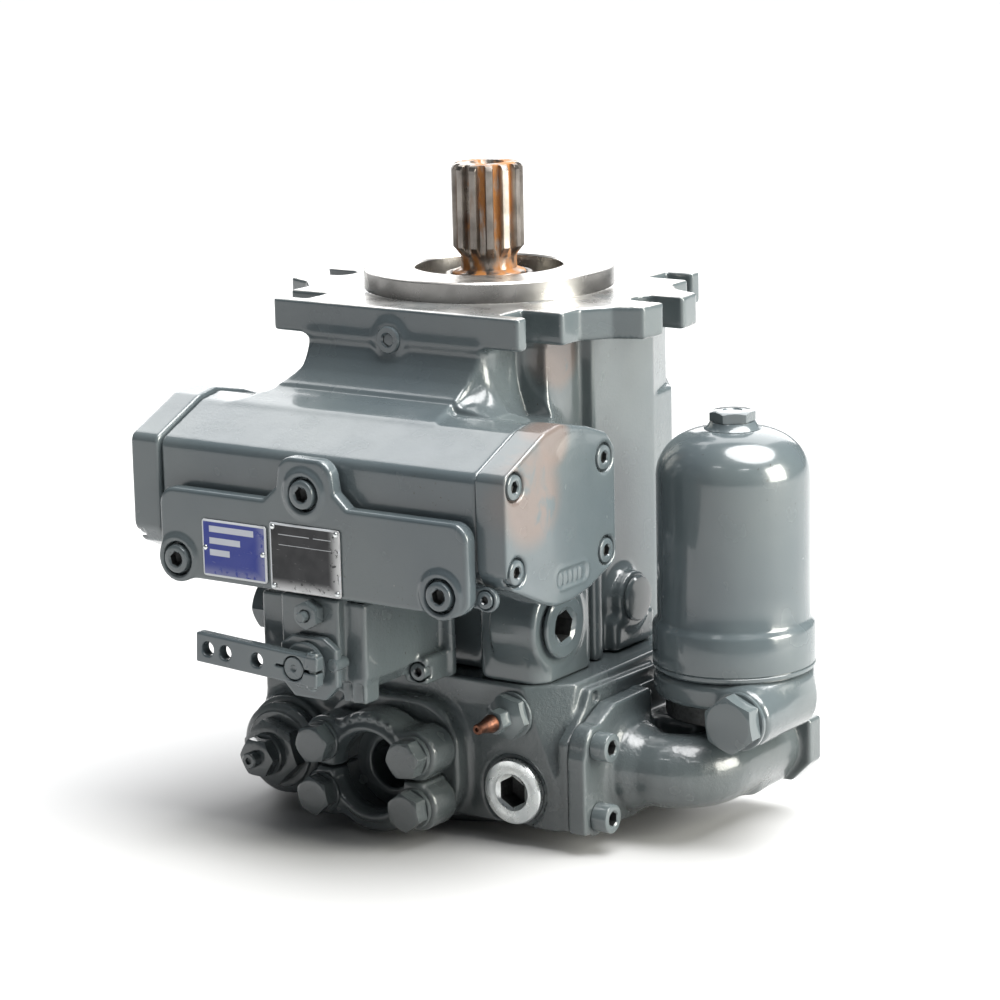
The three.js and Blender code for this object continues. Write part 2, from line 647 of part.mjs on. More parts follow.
function sealRetainer() {
  return turned([0, 0], [
    [23, 306.4], [44.6, 306.4], [44.6, 311], [27, 313], [27, 323], [23, 323], [23, 306.4],
  ]);
}

function cylinderBlock() {
  const bores = [];
  for (let i = 0; i < PISTONS.count; i++) {
    const angle = (i / PISTONS.count) * Math.PI * 2;
    const at = [PISTONS.pitch * Math.cos(angle), PISTONS.pitch * Math.sin(angle)];
    bores.push(rod('z', at, PISTONS.bore, 132, 199, 12), rod('z', at, 5, 117, 133, 6));
  }
  return cut(rod('z', [0, 0], 58, 118, 198, 36), rod('z', [0, 0], SHAFT.inner + 0.7, 117, 199, 24), ...bores);
}

// Nine pistons, their slippers and the plate that holds the slippers down on the swashplate.
function pistonSet() {
  const parts = [ring([0, 0], 27, 58, 222, 225.5, 24)];
  for (let i = 0; i < PISTONS.count; i++) {
    const angle = (i / PISTONS.count) * Math.PI * 2;
    const at = [PISTONS.pitch * Math.cos(angle), PISTONS.pitch * Math.sin(angle)];
    parts.push(
      rod('z', at, PISTONS.radius, 146, 214, 10),
      rod('z', at, 5, 213, 223, 6),
      rod('z', at, 12, 225, TILT_Z - 12 - GAP, 10),
    );
  }
  return join(...parts);
}

function valvePlate() {
  const shape = new THREE.Shape().absarc(0, 0, 60, 0, Math.PI * 2);
  shape.holes.push(new THREE.Path().absarc(0, 0, 24, 0, Math.PI * 2));
  for (const middle of [0, Math.PI]) {
    const sweep = 1.15;
    const kidney = new THREE.Path();
    kidney.absarc(0, 0, 48, middle - sweep, middle + sweep, false);
    kidney.absarc(0, 0, 36, middle + sweep, middle - sweep, true);
    kidney.closePath();
    shape.holes.push(kidney);
  }
  return prism('z', shape, 110 + GAP, 118 - GAP, 9);
}

function swashCradle() {
  const legs = [-1, 1].map((side) => {
    const y = [side * 30, side * 62].sort((a, b) => a - b);
    return box([-44, 44], y, [262, CAVITY.roof - GAP]);
  });
  return cut(join(ring([0, 0], 30, 70, 281, CAVITY.roof - GAP), ...legs), rod('y', [0, TILT_Z], 37, -70, 70, 32));
}

function swashplate() {
  const reach = 33;
  const pinZ = SERVO.z;
  const bearing = cut(
    rod('y', [0, TILT_Z], 36.4, -60, 60, 32),
    box([-80, 80], [-80, 80], [150, TILT_Z - 6]),
    box([-80, 80], [-reach, reach], [150, 300]),
  );
  return cut(
    join(
      rod('z', [0, 0], 62, TILT_Z - 12, TILT_Z - 2, 32),
      bearing,
      box([-9, 9], [-90, -45], [TILT_Z - 12, TILT_Z - 3]),
      box([-9, 9], [-90, -61], [pinZ - 8, TILT_Z - 3]),
      rod('y', [0, pinZ], 6, -120, -89, 16),
    ),
    rod('z', [0, 0], 30, 200, 300, 24),
  );
}

// The pockets in its ends hold the centring springs.
function servoPiston() {
  const body = rod('x', [SERVO.y, SERVO.z], SERVO.bore - 0.6, -55, 55, 28);
  const pockets = [[-56, -14], [14, 56]].map((ends) => rod('x', [SERVO.y, SERVO.z], 24, ...ends, 24));
  return cut(body, ...pockets, box([-7, 7], [-124, -80], [SERVO.z - 10, SERVO.z + 10]));
}

// Teeth point outwards on the inner gear and inwards on the ring.
function gearOutline(count, pitch, toRoot, toTip, phase) {
  const corners = [];
  for (let i = 0; i < count; i++) {
    const at = (radius, share) => {
      const angle = ((i + share + phase) / count) * Math.PI * 2;
      return [radius * Math.cos(angle), radius * Math.sin(angle)];
    };
    corners.push(at(pitch + toRoot, -0.27), at(pitch + toTip, -0.14));
    corners.push(at(pitch + toTip, 0.14), at(pitch + toRoot, 0.27));
  }
  return corners;
}

function chargeGear() {
  const gear = prism('z', outline(gearOutline(10, 15, -2.2, 1.8, 0)), CHARGE.from, CHARGE.to);
  return cut(gear, rod('z', [0, 0], SHAFT.tail + 0.5, CHARGE.from - 1, CHARGE.to + 1, 20));
}

function chargeRingGear() {
  const corners = gearOutline(14, 21, 2.2, -1.8, 0.5);
  const space = prism('z', outline(corners), CHARGE.from - 1, CHARGE.to + 1);
  const shape = rod('z', [0, 0], CHARGE.ringRadius, CHARGE.from, CHARGE.to, 28);
  return cut(shape, space);
}

// ---- Assembly ----

piece('housing', housing(), 'paint');
piece('port_block', portBlock(), 'paint');
piece('charge_pump_cover', chargePumpCover(), 'paint');
piece('servo_cover_right', servoCover(1), 'paint');
piece('servo_cover_left', servoCover(-1), 'paint');
const coverScrew = socketScrew(COVER_SCREW);
coverScrewSpots.forEach(([y, z], i) => {
  const seat = SERVO.coverFace - 4 + GAP;
  fasten(`right_cover_screw_${i + 1}`, coverScrew, 'paint', [seat, y, z], [1, 0, 0]);
});
piece('control_cover_plate', controlCoverPlate(), 'paint');
const plateScrew = socketScrew(PLATE_SCREW);
plateScrewSpots.forEach(([x, z], i) => {
  fasten(`plate_screw_${i + 1}`, plateScrew, 'paint', [x, CONTROL.plateFront + 5 - GAP, z], [0, -1, 0]);
});
for (const [name, plate] of Object.entries(NAME_PLATES)) {
  piece(name, namePlate(plate), plate.finish);
}
piece('control_valve_block', controlValveBlock(), 'paint');
piece('control_guard_plate', controlGuardPlate(), 'paint');
piece('control_stud', rod('y', [STUD.x, STUD.z], STUD.radius, -203, -167, 12), 'paint');
piece('control_nut',
  cut(hexBar('y', [STUD.x, STUD.z], STUD.nut, -198.5, VALVE.pad - GAP),
    rod('y', [STUD.x, STUD.z], STUD.radius + 0.6, -200, -180, 12)),
  'paint');
add('control_lever', atLeverAngle(controlLever()), 'paint');
piece('control_shaft', rod('y', [0, CONTROL.leverZ], 7, CONTROL.leverFront - 0.5, -152, 20), 'paint');
add('clamp_screw', atLeverAngle(clampScrew()), 'paint');
piece('split_flange_upper', splitFlange(1), 'paint');
piece('split_flange_lower', splitFlange(-1), 'paint');
const flangeBolt = hexBolt(FLANGE_BOLT);
portBoltSpots.forEach(([x, z], i) => {
  fasten(`flange_bolt_${i + 1}`, flangeBolt, 'paint', [x, PORT.face - 24 - GAP, z], [0, -1, 0]);
});
fasten('port_plug', socketPlug({ head: ZINC_PLUG.head, height: 5, thread: 16, length: 14, socket: 17 }), 'zinc',
  [ZINC_PLUG.x, -BLOCK.halfY + 2 - GAP, ZINC_PLUG.z], [0, -1, 0]);
piece('bleed_fitting', bleedFitting(), 'paint');
piece('bleed_tip', bleedTip(), 'copper');
piece('relief_cartridge', reliefCartridge(), 'paint');
piece('relief_adjuster', reliefAdjuster(), 'paint');
piece('suction_manifold', suctionManifold(), 'paint');
const manifoldScrew = socketScrew(MANIFOLD_SCREW);
manifoldScrewSpots.forEach(([y, z], i) => {
  const seat = BLOCK.halfX + 12 + 2 * GAP;
  fasten(`manifold_screw_${i + 1}`, manifoldScrew, 'paint', [seat, y, z], [1, 0, 0]);
});
piece('filter_head', filterHead(), 'paint');
piece('filter_bowl', filterBowl(), 'paint');
piece('bowl_nut', hexBar('z', [FILTER.x, FILTER.y], 24, 243 + GAP, 252.5), 'paint');
fasten('head_plug', hexBolt({ flats: HEAD_PLUG.flats, height: 12, shank: 10, length: 18, washer: 17.5 }), 'paint',
  [HEAD_PLUG.x, HEAD_PLUG.face - GAP, HEAD_PLUG.z], [0, -1, 0]);
piece('filter_element', ring([FILTER.x, FILTER.y], 14, 36, 102, 205), 'paper');
fasten('side_plug', socketPlug({ head: SIDE_PLUG.head, height: 3, thread: 15, length: 20, socket: 17 }), 'paint',
  [SIDE_PLUG.face + GAP, SIDE_PLUG.y, SIDE_PLUG.z], [1, 0, 0]);
piece('pin_cap', rod('x', [PIN_CAP.y, PIN_CAP.z], PIN_CAP.radius, PIN_CAP.face, PIN_CAP.face + 4, 28), 'paint');
fasten('flange_plug', socketPlug({ head: FLANGE_PLUG.radius, height: 1.5, thread: 6.6, length: 12, socket: 7 }), 'paint',
  [FLANGE_PLUG.x, FLANGE_PLUG.face - GAP, FLANGE_PLUG.z], [0, -1, 0]);
piece('drive_shaft', driveShaft(), 'darkSteel');
piece('seal_retainer', sealRetainer(), 'machined');
piece('front_bearing', ring([0, 0], 23.4, 35, CAVITY.roof + 1, 305.7), 'steel');
piece('rear_bearing', ring([0, 0], 20.5, 29.8, 86, 109.7), 'steel');
piece('cylinder_block', cylinderBlock(), 'steel');
piece('piston_set', pistonSet(), 'bronze');
piece('valve_plate', valvePlate(), 'bronze');
piece('swash_cradle', swashCradle(), 'steel');
piece('swashplate', swashplate(), 'steel');
piece('servo_piston', servoPiston(), 'steel');
piece('charge_gear', chargeGear(), 'steel');
const chargeRing = piece('charge_ring_gear', chargeRingGear(), 'steel');
chargeRing.position.x = CHARGE.offset;

export default pump;
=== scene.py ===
"""Looks of the axial piston pump: cast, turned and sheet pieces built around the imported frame."""

import math

import bpy
import numpy as np
from mathutils import Matrix, Vector


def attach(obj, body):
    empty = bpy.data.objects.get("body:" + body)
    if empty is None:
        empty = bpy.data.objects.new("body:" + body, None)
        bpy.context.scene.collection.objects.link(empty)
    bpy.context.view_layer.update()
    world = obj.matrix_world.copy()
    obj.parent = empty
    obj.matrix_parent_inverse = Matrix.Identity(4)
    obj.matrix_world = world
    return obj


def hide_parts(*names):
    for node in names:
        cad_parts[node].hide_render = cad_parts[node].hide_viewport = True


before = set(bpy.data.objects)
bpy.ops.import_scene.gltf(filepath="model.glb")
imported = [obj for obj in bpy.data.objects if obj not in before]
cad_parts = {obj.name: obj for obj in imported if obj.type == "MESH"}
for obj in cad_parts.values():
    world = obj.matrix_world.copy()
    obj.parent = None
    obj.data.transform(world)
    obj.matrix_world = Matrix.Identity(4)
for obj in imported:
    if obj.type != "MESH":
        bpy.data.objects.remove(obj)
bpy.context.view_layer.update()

MM = 0.001
BODY = "pump_body"

# Sizes in millimetres, in the row's frame: the pump stands on z = 0 with its shaft along +Z.
FLANGE_Z = 315.0
PILOT_TOP = 327.7
SHAFT_TOP = 390.0
TEETH = 13
SLOT = 10.7  # half width of a bolt slot
PITCH = 80.8  # four-bolt slots, half spacing
PORT_Z = 41.0
BOLT_X, BOLT_Z = 33.35, 15.9  # split flange bolts, half spacings
BLOCK_X, BLOCK_TOP = 117.5, 98.0
SERVO_Y, SERVO_Z = -127.5, 211.0
COVER_JOINT, COVER_FACE = 113.0, 134.0
PLATE_FRONT, PLATE_BACK = -194.0, -184.3
LEVER_Z, LEVER_FRONT, LEVER_THICK = 122.0, -207.0, 7.5
LEVER_TILT = math.radians(3)
FILTER = (170.7, 0.0)
SUCTION = (-50.0, 43.0)

# Outward directions, and centres that a casting shares with the piece in it.
FRONT, RIGHT = (0, -1, 0), (1, 0, 0)
RELIEF, ZINC_PLUG, BLEED = (-80, 40), (80, 33), (80, 80)  # x, z on the port block's front
STUD, FLANGE_PLUG, HEAD_PLUG = (3, 151.5), (-2, 296.5), (202, 80)  # x, z
SIDE_PLUG, PIN_CAP = (-80, 131.5), (5, 129.5)  # y, z on the housing's right side
MANIFOLD_SCREWS = ((-89, 65), (-89, 22))  # y, z


# ---- Cast pieces: distance fields turned into meshes ----


def slab(flat, along, span, r):
    """An outline's distance, extruded over a span, with its rims rounded by r."""
    low, high = span
    across = np.abs(along - (low + high) / 2) - (high - low) / 2 + r
    flat = flat + r
    outside = np.hypot(np.maximum(flat, 0), np.maximum(across, 0))
    return np.minimum(np.maximum(flat, across), 0) + outside - r


def polygon(u, v, points):
    """Distance to a closed outline in a plane, negative inside."""
    squared = np.full(np.broadcast(u, v).shape, 1e9, np.float32)
    inside = np.zeros(squared.shape, bool)
    for (ax, ay), (bx, by) in zip(points, points[1:] + points[:1]):
        ex, ey = bx - ax, by - ay
        t = np.clip(((u - ax) * ex + (v - ay) * ey) / (ex * ex + ey * ey), 0, 1)
        squared = np.minimum(squared, (u - ax - t * ex) ** 2 + (v - ay - t * ey) ** 2)
        crosses = (ay > v) != (by > v)
        if ey:
            inside ^= crosses & (u < ax + (v - ay) * ex / ey)
    return np.where(inside, -1, 1) * np.sqrt(squared)


def others(axis):
    return [i for i in range(3) if "xyz"[i] != axis]


def boxed(axis, low_pair, high_pair, span):
    """A bounding box from its limits across an axis and along it."""
    low, high = np.zeros(3), np.zeros(3)
    for i, a, b in zip(others(axis), low_pair, high_pair):
        low[i], high[i] = a, b
    low["xyz".index(axis)], high["xyz".index(axis)] = span
    return low, high


def block(x, y, z, r=1.0):
    def distance(p):
        flat = [np.abs(p[i] - (a + b) / 2) - (b - a) / 2 + r for i, (a, b) in enumerate((x, y, z))]
        outside = np.sqrt(sum(np.maximum(q, 0) ** 2 for q in flat))
        return np.minimum(np.maximum(np.maximum(flat[0], flat[1]), flat[2]), 0) + outside - r

    return distance, np.array([x[0], y[0], z[0]]), np.array([x[1], y[1], z[1]])


def bar(axis, centre, radius, span, r=0.0, end=None):
    """A round bar along an axis; `end` is its radius at the far end of the span."""
    i, (j, k) = "xyz".index(axis), others(axis)
    slope = 0.0 if end is None else (end - radius) / (span[1] - span[0])

    def distance(p):
        here = radius + slope * (np.clip(p[i], *span) - span[0])
        return slab(np.sqrt((p[j] - centre[0]) ** 2 + (p[k] - centre[1]) ** 2) - here, p[i], span, r)

    widest = max(radius, end or 0)
    return (distance, *boxed(axis, [c - widest for c in centre], [c + widest for c in centre], span))


def prism(axis, points, span, r=1.0, corner=0.0):
    """An outline extruded along an axis; `corner` rounds the outline's own corners."""
    i, (j, k) = "xyz".index(axis), others(axis)

    def distance(p):
        return slab(shrunk_polygon(p[j], p[k], points, corner), p[i], span, r)

    flat = np.array([(q[0], q[1]) for q in points])
    return (distance, *boxed(axis, flat.min(0), flat.max(0), span))


def shrunk_polygon(u, v, points, corner):
    """The outline's distance with its outer corners rounded."""
    if not corner:
        return polygon(u, v, points)
    inner = inset(points, corner)
    return polygon(u, v, inner) - corner


def inset(points, amount):
    """The outline moved inwards on every side."""
    area = sum(ax * by - bx * ay for (ax, ay), (bx, by) in zip(points, points[1:] + points[:1]))
    side = 1 if area > 0 else -1
    result = []
    for before, here, after in zip(points[-1:] + points[:-1], points, points[1:] + points[:1]):
        a = np.subtract(here, before) / np.hypot(*np.subtract(here, before))
        b = np.subtract(after, here) / np.hypot(*np.subtract(after, here))
        na, nb = side * np.array([-a[1], a[0]]), side * np.array([-b[1], b[0]])
        bisector = na + nb
        result.append(tuple(np.array(here) + bisector * (amount / max(0.25, 1 + na @ nb))))
    return result


def common(first, second):
    """What two shapes share."""

    def distance(p):
        return np.maximum(first[0](p), second[0](p))

    return distance, np.maximum(first[1], second[1]), np.minimum(first[2], second[2])


def beyond(point, normal, low, high):
    """All that lies past a plane, inside a box."""
    normal = np.array(normal, float) / np.linalg.norm(normal)

    def distance(p):
        return -sum((p[i] - point[i]) * normal[i] for i in range(3))

    return distance, np.array(low, float), np.array(high, float)


def pipe(path, radius):
    """A round pipe along a polyline."""
    path = np.array(path, float)

    def distance(p):
        best = None
        for a, b in zip(path[:-1], path[1:]):
            e = b - a
            t = np.clip(sum((p[i] - a[i]) * e[i] for i in range(3)) / (e @ e), 0, 1)
            d = np.sqrt(sum((p[i] - a[i] - t * e[i]) ** 2 for i in range(3)))
            best = d if best is None else np.minimum(best, d)
        return best - radius

    return distance, path.min(0) - radius, path.max(0) + radius


class Casting:
    """A solid on a grid of distances, joined and cut smoothly."""

    def __init__(self, low, high, fine, coarse):
        self.step = step = fine
        rim = 3 * step
        self.axes = [np.arange(a - rim, b + rim, step, dtype=np.float32) for a, b in zip(low, high)]
        self.value = np.full([len(a) for a in self.axes], 40, np.float32)

    def region(self, low, high, margin):
        window = []
        for axis, a, b in zip(self.axes, low, high):
            first = np.searchsorted(axis, a - margin)
            window.append(slice(first, max(first + 1, np.searchsorted(axis, b + margin))))
        shapes = [(-1, 1, 1), (1, -1, 1), (1, 1, -1)]
        points = [axis[w].reshape(s) for axis, w, s in zip(self.axes, window, shapes)]
        return tuple(window), points

    def blend(self, shape, k, sign):
        """Adds a shape for sign 1 and takes it away for sign -1, with a fillet of about k."""
        distance, low, high = shape
        window, points = self.region(low, high, k + 3 * self.step)
        here = sign * self.value[window]
        other = distance(points)
        soft = np.maximum(k - np.abs(here - other), 0) ** 2 / (4 * k) if k else 0
        self.value[window] = sign * (np.minimum(here, other) - soft)

    def join(self, shape, k=0.0):
        self.blend(shape, k, 1)

    def cut(self, shape, k=0.0):
        self.blend(shape, k, -1)

    def mesh(self, name, relax=2):
        """Naive surface nets, then a little relaxing."""
        f = self.value
        solid = f < 0
        corners = [(i, j, k) for i in (0, 1) for j in (0, 1) for k in (0, 1)]
        size = [n - 1 for n in f.shape]

        def shifted(grid, c):
            return grid[c[0]:c[0] + size[0], c[1]:c[1] + size[1], c[2]:c[2] + size[2]]

        count = sum(shifted(solid, c).astype(np.int8) for c in corners)
        cells = np.argwhere((count > 0) & (count < 8))
        number = np.full(size, -1, np.int64)
        number[tuple(cells.T)] = np.arange(len(cells))
        total = np.zeros((len(cells), 3))
        hits = np.zeros(len(cells))
        for a in corners:
            for axis in range(3):
                if a[axis]:
                    continue
                b = tuple(v + (i == axis) for i, v in enumerate(a))
                fa = f[tuple((cells + a).T)]
                fb = f[tuple((cells + b).T)]
                crossing = (fa < 0) != (fb < 0)
                t = np.where(crossing, fa / np.where(crossing, fa - fb, 1), 0)
                point = np.array(a, float) + np.zeros((len(cells), 1))
                point[:, axis] += t
                total += point * crossing[:, None]
                hits += crossing
        origin = np.array([axis[0] for axis in self.axes])
        vertices = origin + (cells + total / hits[:, None]) * self.step
        faces = []
        for axis in range(3):
            u, v = (axis + 1) % 3, (axis + 2) % 3
            near = [slice(1, -1)] * 3
            near[axis] = slice(0, -1)
            far = list(near)
            far[axis] = slice(1, None)
            flips = np.argwhere(solid[tuple(near)] != solid[tuple(far)])
            flips[:, u] += 1
            flips[:, v] += 1
            inside = solid[tuple(flips.T)]
            ring = []
            for du, dv in ((-1, -1), (0, -1), (0, 0), (-1, 0)):
                cell = flips.copy()
                cell[:, u] += du
                cell[:, v] += dv
                ring.append(number[tuple(cell.T)])
            quad = np.stack(ring, 1)
            faces.append(np.where(inside[:, None], quad, quad[:, ::-1]))
        faces = np.concatenate(faces)
        for _ in range(relax):
            vertices = relaxed(vertices, faces)
        return mesh_object(name, vertices, faces)


def relaxed(vertices, faces, share=0.5):
    total = np.zeros_like(vertices)
    hits = np.zeros(len(vertices))
    for a, b in ((0, 1), (1, 2), (2, 3), (3, 0)):
        for p, q in ((a, b), (b, a)):
            np.add.at(hits, faces[:, p], 1)
            for i in range(3):
                total[:, i] += np.bincount(faces[:, p], vertices[faces[:, q], i], len(vertices))
    return vertices * (1 - share) + total / hits[:, None] * share


def linked(name, data):
    """A new object in the scene."""
    thing = bpy.data.objects.new(name, data)
    bpy.context.scene.collection.objects.link(thing)
    return thing


def mesh_object(name, vertices, faces):
    """An object from vertices in millimetres and faces of one size, smooth-shaded."""
    mesh = bpy.data.meshes.new(name)
    faces = np.asarray(faces, np.int32)
    corners = faces.shape[1]
    mesh.vertices.add(len(vertices))
    mesh.vertices.foreach_set("co", (np.asarray(vertices, np.float32) * MM).ravel())
    mesh.loops.add(faces.size)
    mesh.loops.foreach_set("vertex_index", faces.ravel())
    mesh.polygons.add(len(faces))
    mesh.polygons.foreach_set("loop_start", np.arange(0, faces.size, corners, dtype=np.int32))
    mesh.polygons.foreach_set("use_smooth", np.ones(len(faces), bool))
    mesh.update(calc_edges=True)
    mesh.validate()
    return linked(name, mesh)


# ---- Turned, hexagonal and splined pieces ----


def polar(name, rings, at=(0, 0, 0), facing=(0, 0, 1), segments=96, crease=30, spin=0.0, dirty=0):
    """A closed solid from rings round +Z, each (radius, height), either of which may depend on the angle.

    A first or last ring of radius 0 closes the solid at a point; otherwise the rings close on themselves.
    The faces of the last `dirty` bands, such as a socket's inside, take the piece's second material: painted
    shade for the recess.
    """
    angles = np.arange(segments) * 2 * np.pi / segments
    rows = []
    for radius, height in rings:
        r = radius(angles) if callable(radius) else np.full(segments, float(radius))
        h = height(angles, r) if callable(height) else np.full(segments, float(height))
        rows.append(np.stack([r * np.cos(angles + spin), r * np.sin(angles + spin), h], 1))
    poles = [not callable(rings[i][0]) and rings[i][0] == 0 for i in (0, -1)]
    vertices, starts = [], []
    for i, row in enumerate(rows):
        starts.append(sum(len(v) for v in vertices))
        pole = (i == 0 and poles[0]) or (i == len(rows) - 1 and poles[1])
        vertices.append(row[:1] if pole else row)

    def around(i):
        """A ring's vertex numbers at each step and at the next one; a pole has one vertex for all."""
        step = np.arange(segments) if len(vertices[i]) > 1 else np.zeros(segments, int)
        return starts[i] + step, starts[i] + np.roll(step, -1)

    faces = []
    unshaded_faces = 0
    for i in range(len(rows) - 1 if poles[0] else len(rows)):
        if i == len(rows) - 1 - dirty:
            unshaded_faces = len(faces)
        j = (i + 1) % len(rows)
        low, low_next = around(i)
        high, high_next = around(j)
        if len(vertices[i]) == 1:
            faces += list(zip(low, high_next, high))
        elif len(vertices[j]) == 1:
            faces += list(zip(low, low_next, high))
        else:
            faces += list(zip(low, low_next, high_next, high))
    turn = Vector((0, 0, 1)).rotation_difference(Vector(facing)).to_matrix()
    places = np.concatenate(vertices) @ np.array(turn).T + np.array(at, float)
    mesh = bpy.data.meshes.new(name)
    mesh.from_pydata((places * MM).tolist(), [], [tuple(int(n) for n in f) for f in faces])
    mesh.shade_smooth()
    mesh.set_sharp_from_angle(angle=math.radians(crease))
    # Painted shade: the recess bands are marked for the near-black second material.
    if dirty:
        for face in mesh.polygons[unshaded_faces:]:
            face.material_index = 1
    return linked(name, mesh)


def many_sided(flats, sides=6, soft=0.35):
    """The radius of a regular bar's outline, with slightly rounded corners."""
    half = math.pi / sides

    def radius(angle):
        off = (angle + half) % (2 * half) - half
        r = flats / 2 / np.cos(off)
        corner = flats / 2 / math.cos(half)
        return r - soft * np.clip((r / corner - 0.97) / 0.03, 0, 1) ** 2 * 0.6

    return radius


def chamfered(flats, height, slope=0.5):
    """Height of a hexagon's chamfered end at each corner."""
    flat_radius = flats / 2 * 0.96

    def level(_, r):
        return height - slope * np.maximum(r - flat_radius, 0)

    return level


def hex_rings(flats, height, base=0.0):
    """Rings of a hexagonal head from its seat to the rim of its chamfered top."""
    side = many_sided(flats)
    return [(side, base), (side, chamfered(flats, height)), (flats / 2 * 0.95, height)]


def hex_bolt(name, at, facing, flats, height, washer, shank, length, spin=0.0):
    rings = [(0, -length), (shank, -length), (shank, 0)]
    if washer:
        rings += [(washer - 0.4, 0), (washer, 0.4), (washer, 2.2), (washer - 0.6, 2.8)]
    rings += hex_rings(flats, height, 2.8 if washer else 0.0)
    rings += [(flats * 0.45, height + 0.15), (flats * 0.2, height + 0.1), (0, height + 0.1)]
    return polar(name, rings, at, facing, 72, spin=spin)


def socket_rings(socket, top, depth, mouth=1.12):
    """Rings from a head's top face down into its hexagon socket."""
    side = many_sided(socket, soft=0.05)
    rim = socket / 2 * 1.155 * mouth
    return [
        (rim, top), (lambda a: np.minimum(side(a), rim), top - 0.8), (side, top - 1.2), (side, top - depth),
        (0, top - depth - socket * 0.22),
    ]


def socket_screw(name, at, facing, head, height, shank, length, socket, rim=0.9, spin=0.0):
    rings = [
        (0, -length), (shank, -length), (shank, 0), (head - 0.3, 0), (head, 0.3), (head, height - rim),
        (head - rim * 0.3, height - rim * 0.3), (head - rim, height),
    ]
    rings += socket_rings(socket, height, height * 0.7)
    return polar(name, rings, at, facing, 72, spin=spin, dirty=3)


# ---- Materials ----


class Net:
    """Short words for making and wiring a material's nodes."""

    def __init__(self, name):
        self.material = bpy.data.materials.new(name)
        self.material.use_nodes = True
        self.tree = self.material.node_tree
        self.shader = self.tree.nodes["Principled BSDF"]
        self.coords = self.tree.nodes.new("ShaderNodeTexCoord").outputs["Object"]

    def node(self, kind, **settings):
        node = self.tree.nodes.new("ShaderNode" + kind)
        for key, value in settings.items():
            setattr(node, key, value)
        return node

    def wire(self, source, target):
        if isinstance(source, (int, float, tuple)):
            target.default_value = source
        else:
            self.tree.links.new(source, target)

    def noise(self, scale, detail=3.0, rough=0.5, at=None, stretch=None, warp=0.0):
        node = self.node("TexNoise")
        node.inputs["Scale"].default_value = scale
        node.inputs["Detail"].default_value = detail
        node.inputs["Roughness"].default_value = rough
        node.inputs["Distortion"].default_value = warp
        self.wire(self.stretched(stretch) if stretch else (at or self.coords), node.inputs["Vector"])
        return node.outputs["Fac"]

    def stretched(self, scale):
        node = self.node("Mapping")
        node.inputs["Scale"].default_value = scale
        self.wire(self.coords, node.inputs["Vector"])
        return node.outputs["Vector"]

    def ramp(self, source, low, high, to_low=0.0, to_high=1.0):
        node = self.node("MapRange")
        node.interpolation_type = "SMOOTHSTEP"
        for key, value in zip(("From Min", "From Max", "To Min", "To Max"), (low, high, to_low, to_high)):
            node.inputs[key].default_value = value
        self.wire(source, node.inputs["Value"])
        return node.outputs["Result"]

    def math(self, operation, a, b=0.5):
        node = self.node("Math", operation=operation)
        self.wire(a, node.inputs[0])
        self.wire(b, node.inputs[1])
        return node.outputs[0]

    def times(self, a, b):
        return self.math("MULTIPLY", a, b)

    def plus(self, a, b):
        return self.math("ADD", a, b)

    def mix(self, factor, a, b):
        node = self.node("Mix", data_type="RGBA")
        self.wire(factor, node.inputs["Factor"])
        self.wire(a, node.inputs[6])
        self.wire(b, node.inputs[7])
        return node.outputs[2]

    def part(self, axis):
        node = self.node("SeparateXYZ")
        self.wire(self.coords, node.inputs[0])
        return node.outputs[axis]

    def away(self, centre):
        node = self.node("VectorMath", operation="DISTANCE")
        self.wire(self.coords, node.inputs[0])
        node.inputs[1].default_value = centre
        return node.outputs["Value"]

    def radius(self):
        """Distance from the shaft's axis."""
        flat = self.node("VectorMath", operation="MULTIPLY")
        self.wire(self.coords, flat.inputs[0])
        flat.inputs[1].default_value = (1, 1, 0)
        length = self.node("VectorMath", operation="LENGTH")
        self.wire(flat.outputs[0], length.inputs[0])
        return length.outputs["Value"]

    def bump(self, height, distance, strength=1.0, under=None):
        node = self.node("Bump")
        node.inputs["Strength"].default_value = strength
        node.inputs["Distance"].default_value = distance
        self.wire(height, node.inputs["Height"])
        if under is not None:
            self.wire(under, node.inputs["Normal"])
        return node.outputs["Normal"]

    def finish(self, color, roughness, metallic=0.0, normal=None, coat=0.0, coat_roughness=0.1):
        inputs = self.shader.inputs
        self.wire(color, inputs["Base Color"])
        self.wire(roughness, inputs["Roughness"])
        self.wire(metallic, inputs["Metallic"])
        inputs["Coat Weight"].default_value = coat
        inputs["Coat Roughness"].default_value = coat_roughness
        if normal is not None:
            self.wire(normal, inputs["Normal"])
        return self.material


GREY = (0.072, 0.09, 0.099, 1)
GREY_LIGHT = (0.094, 0.112, 0.116, 1)
GREY_DARK = (0.06, 0.073, 0.077, 1)
PRIMER = (0.165, 0.112, 0.09, 1)


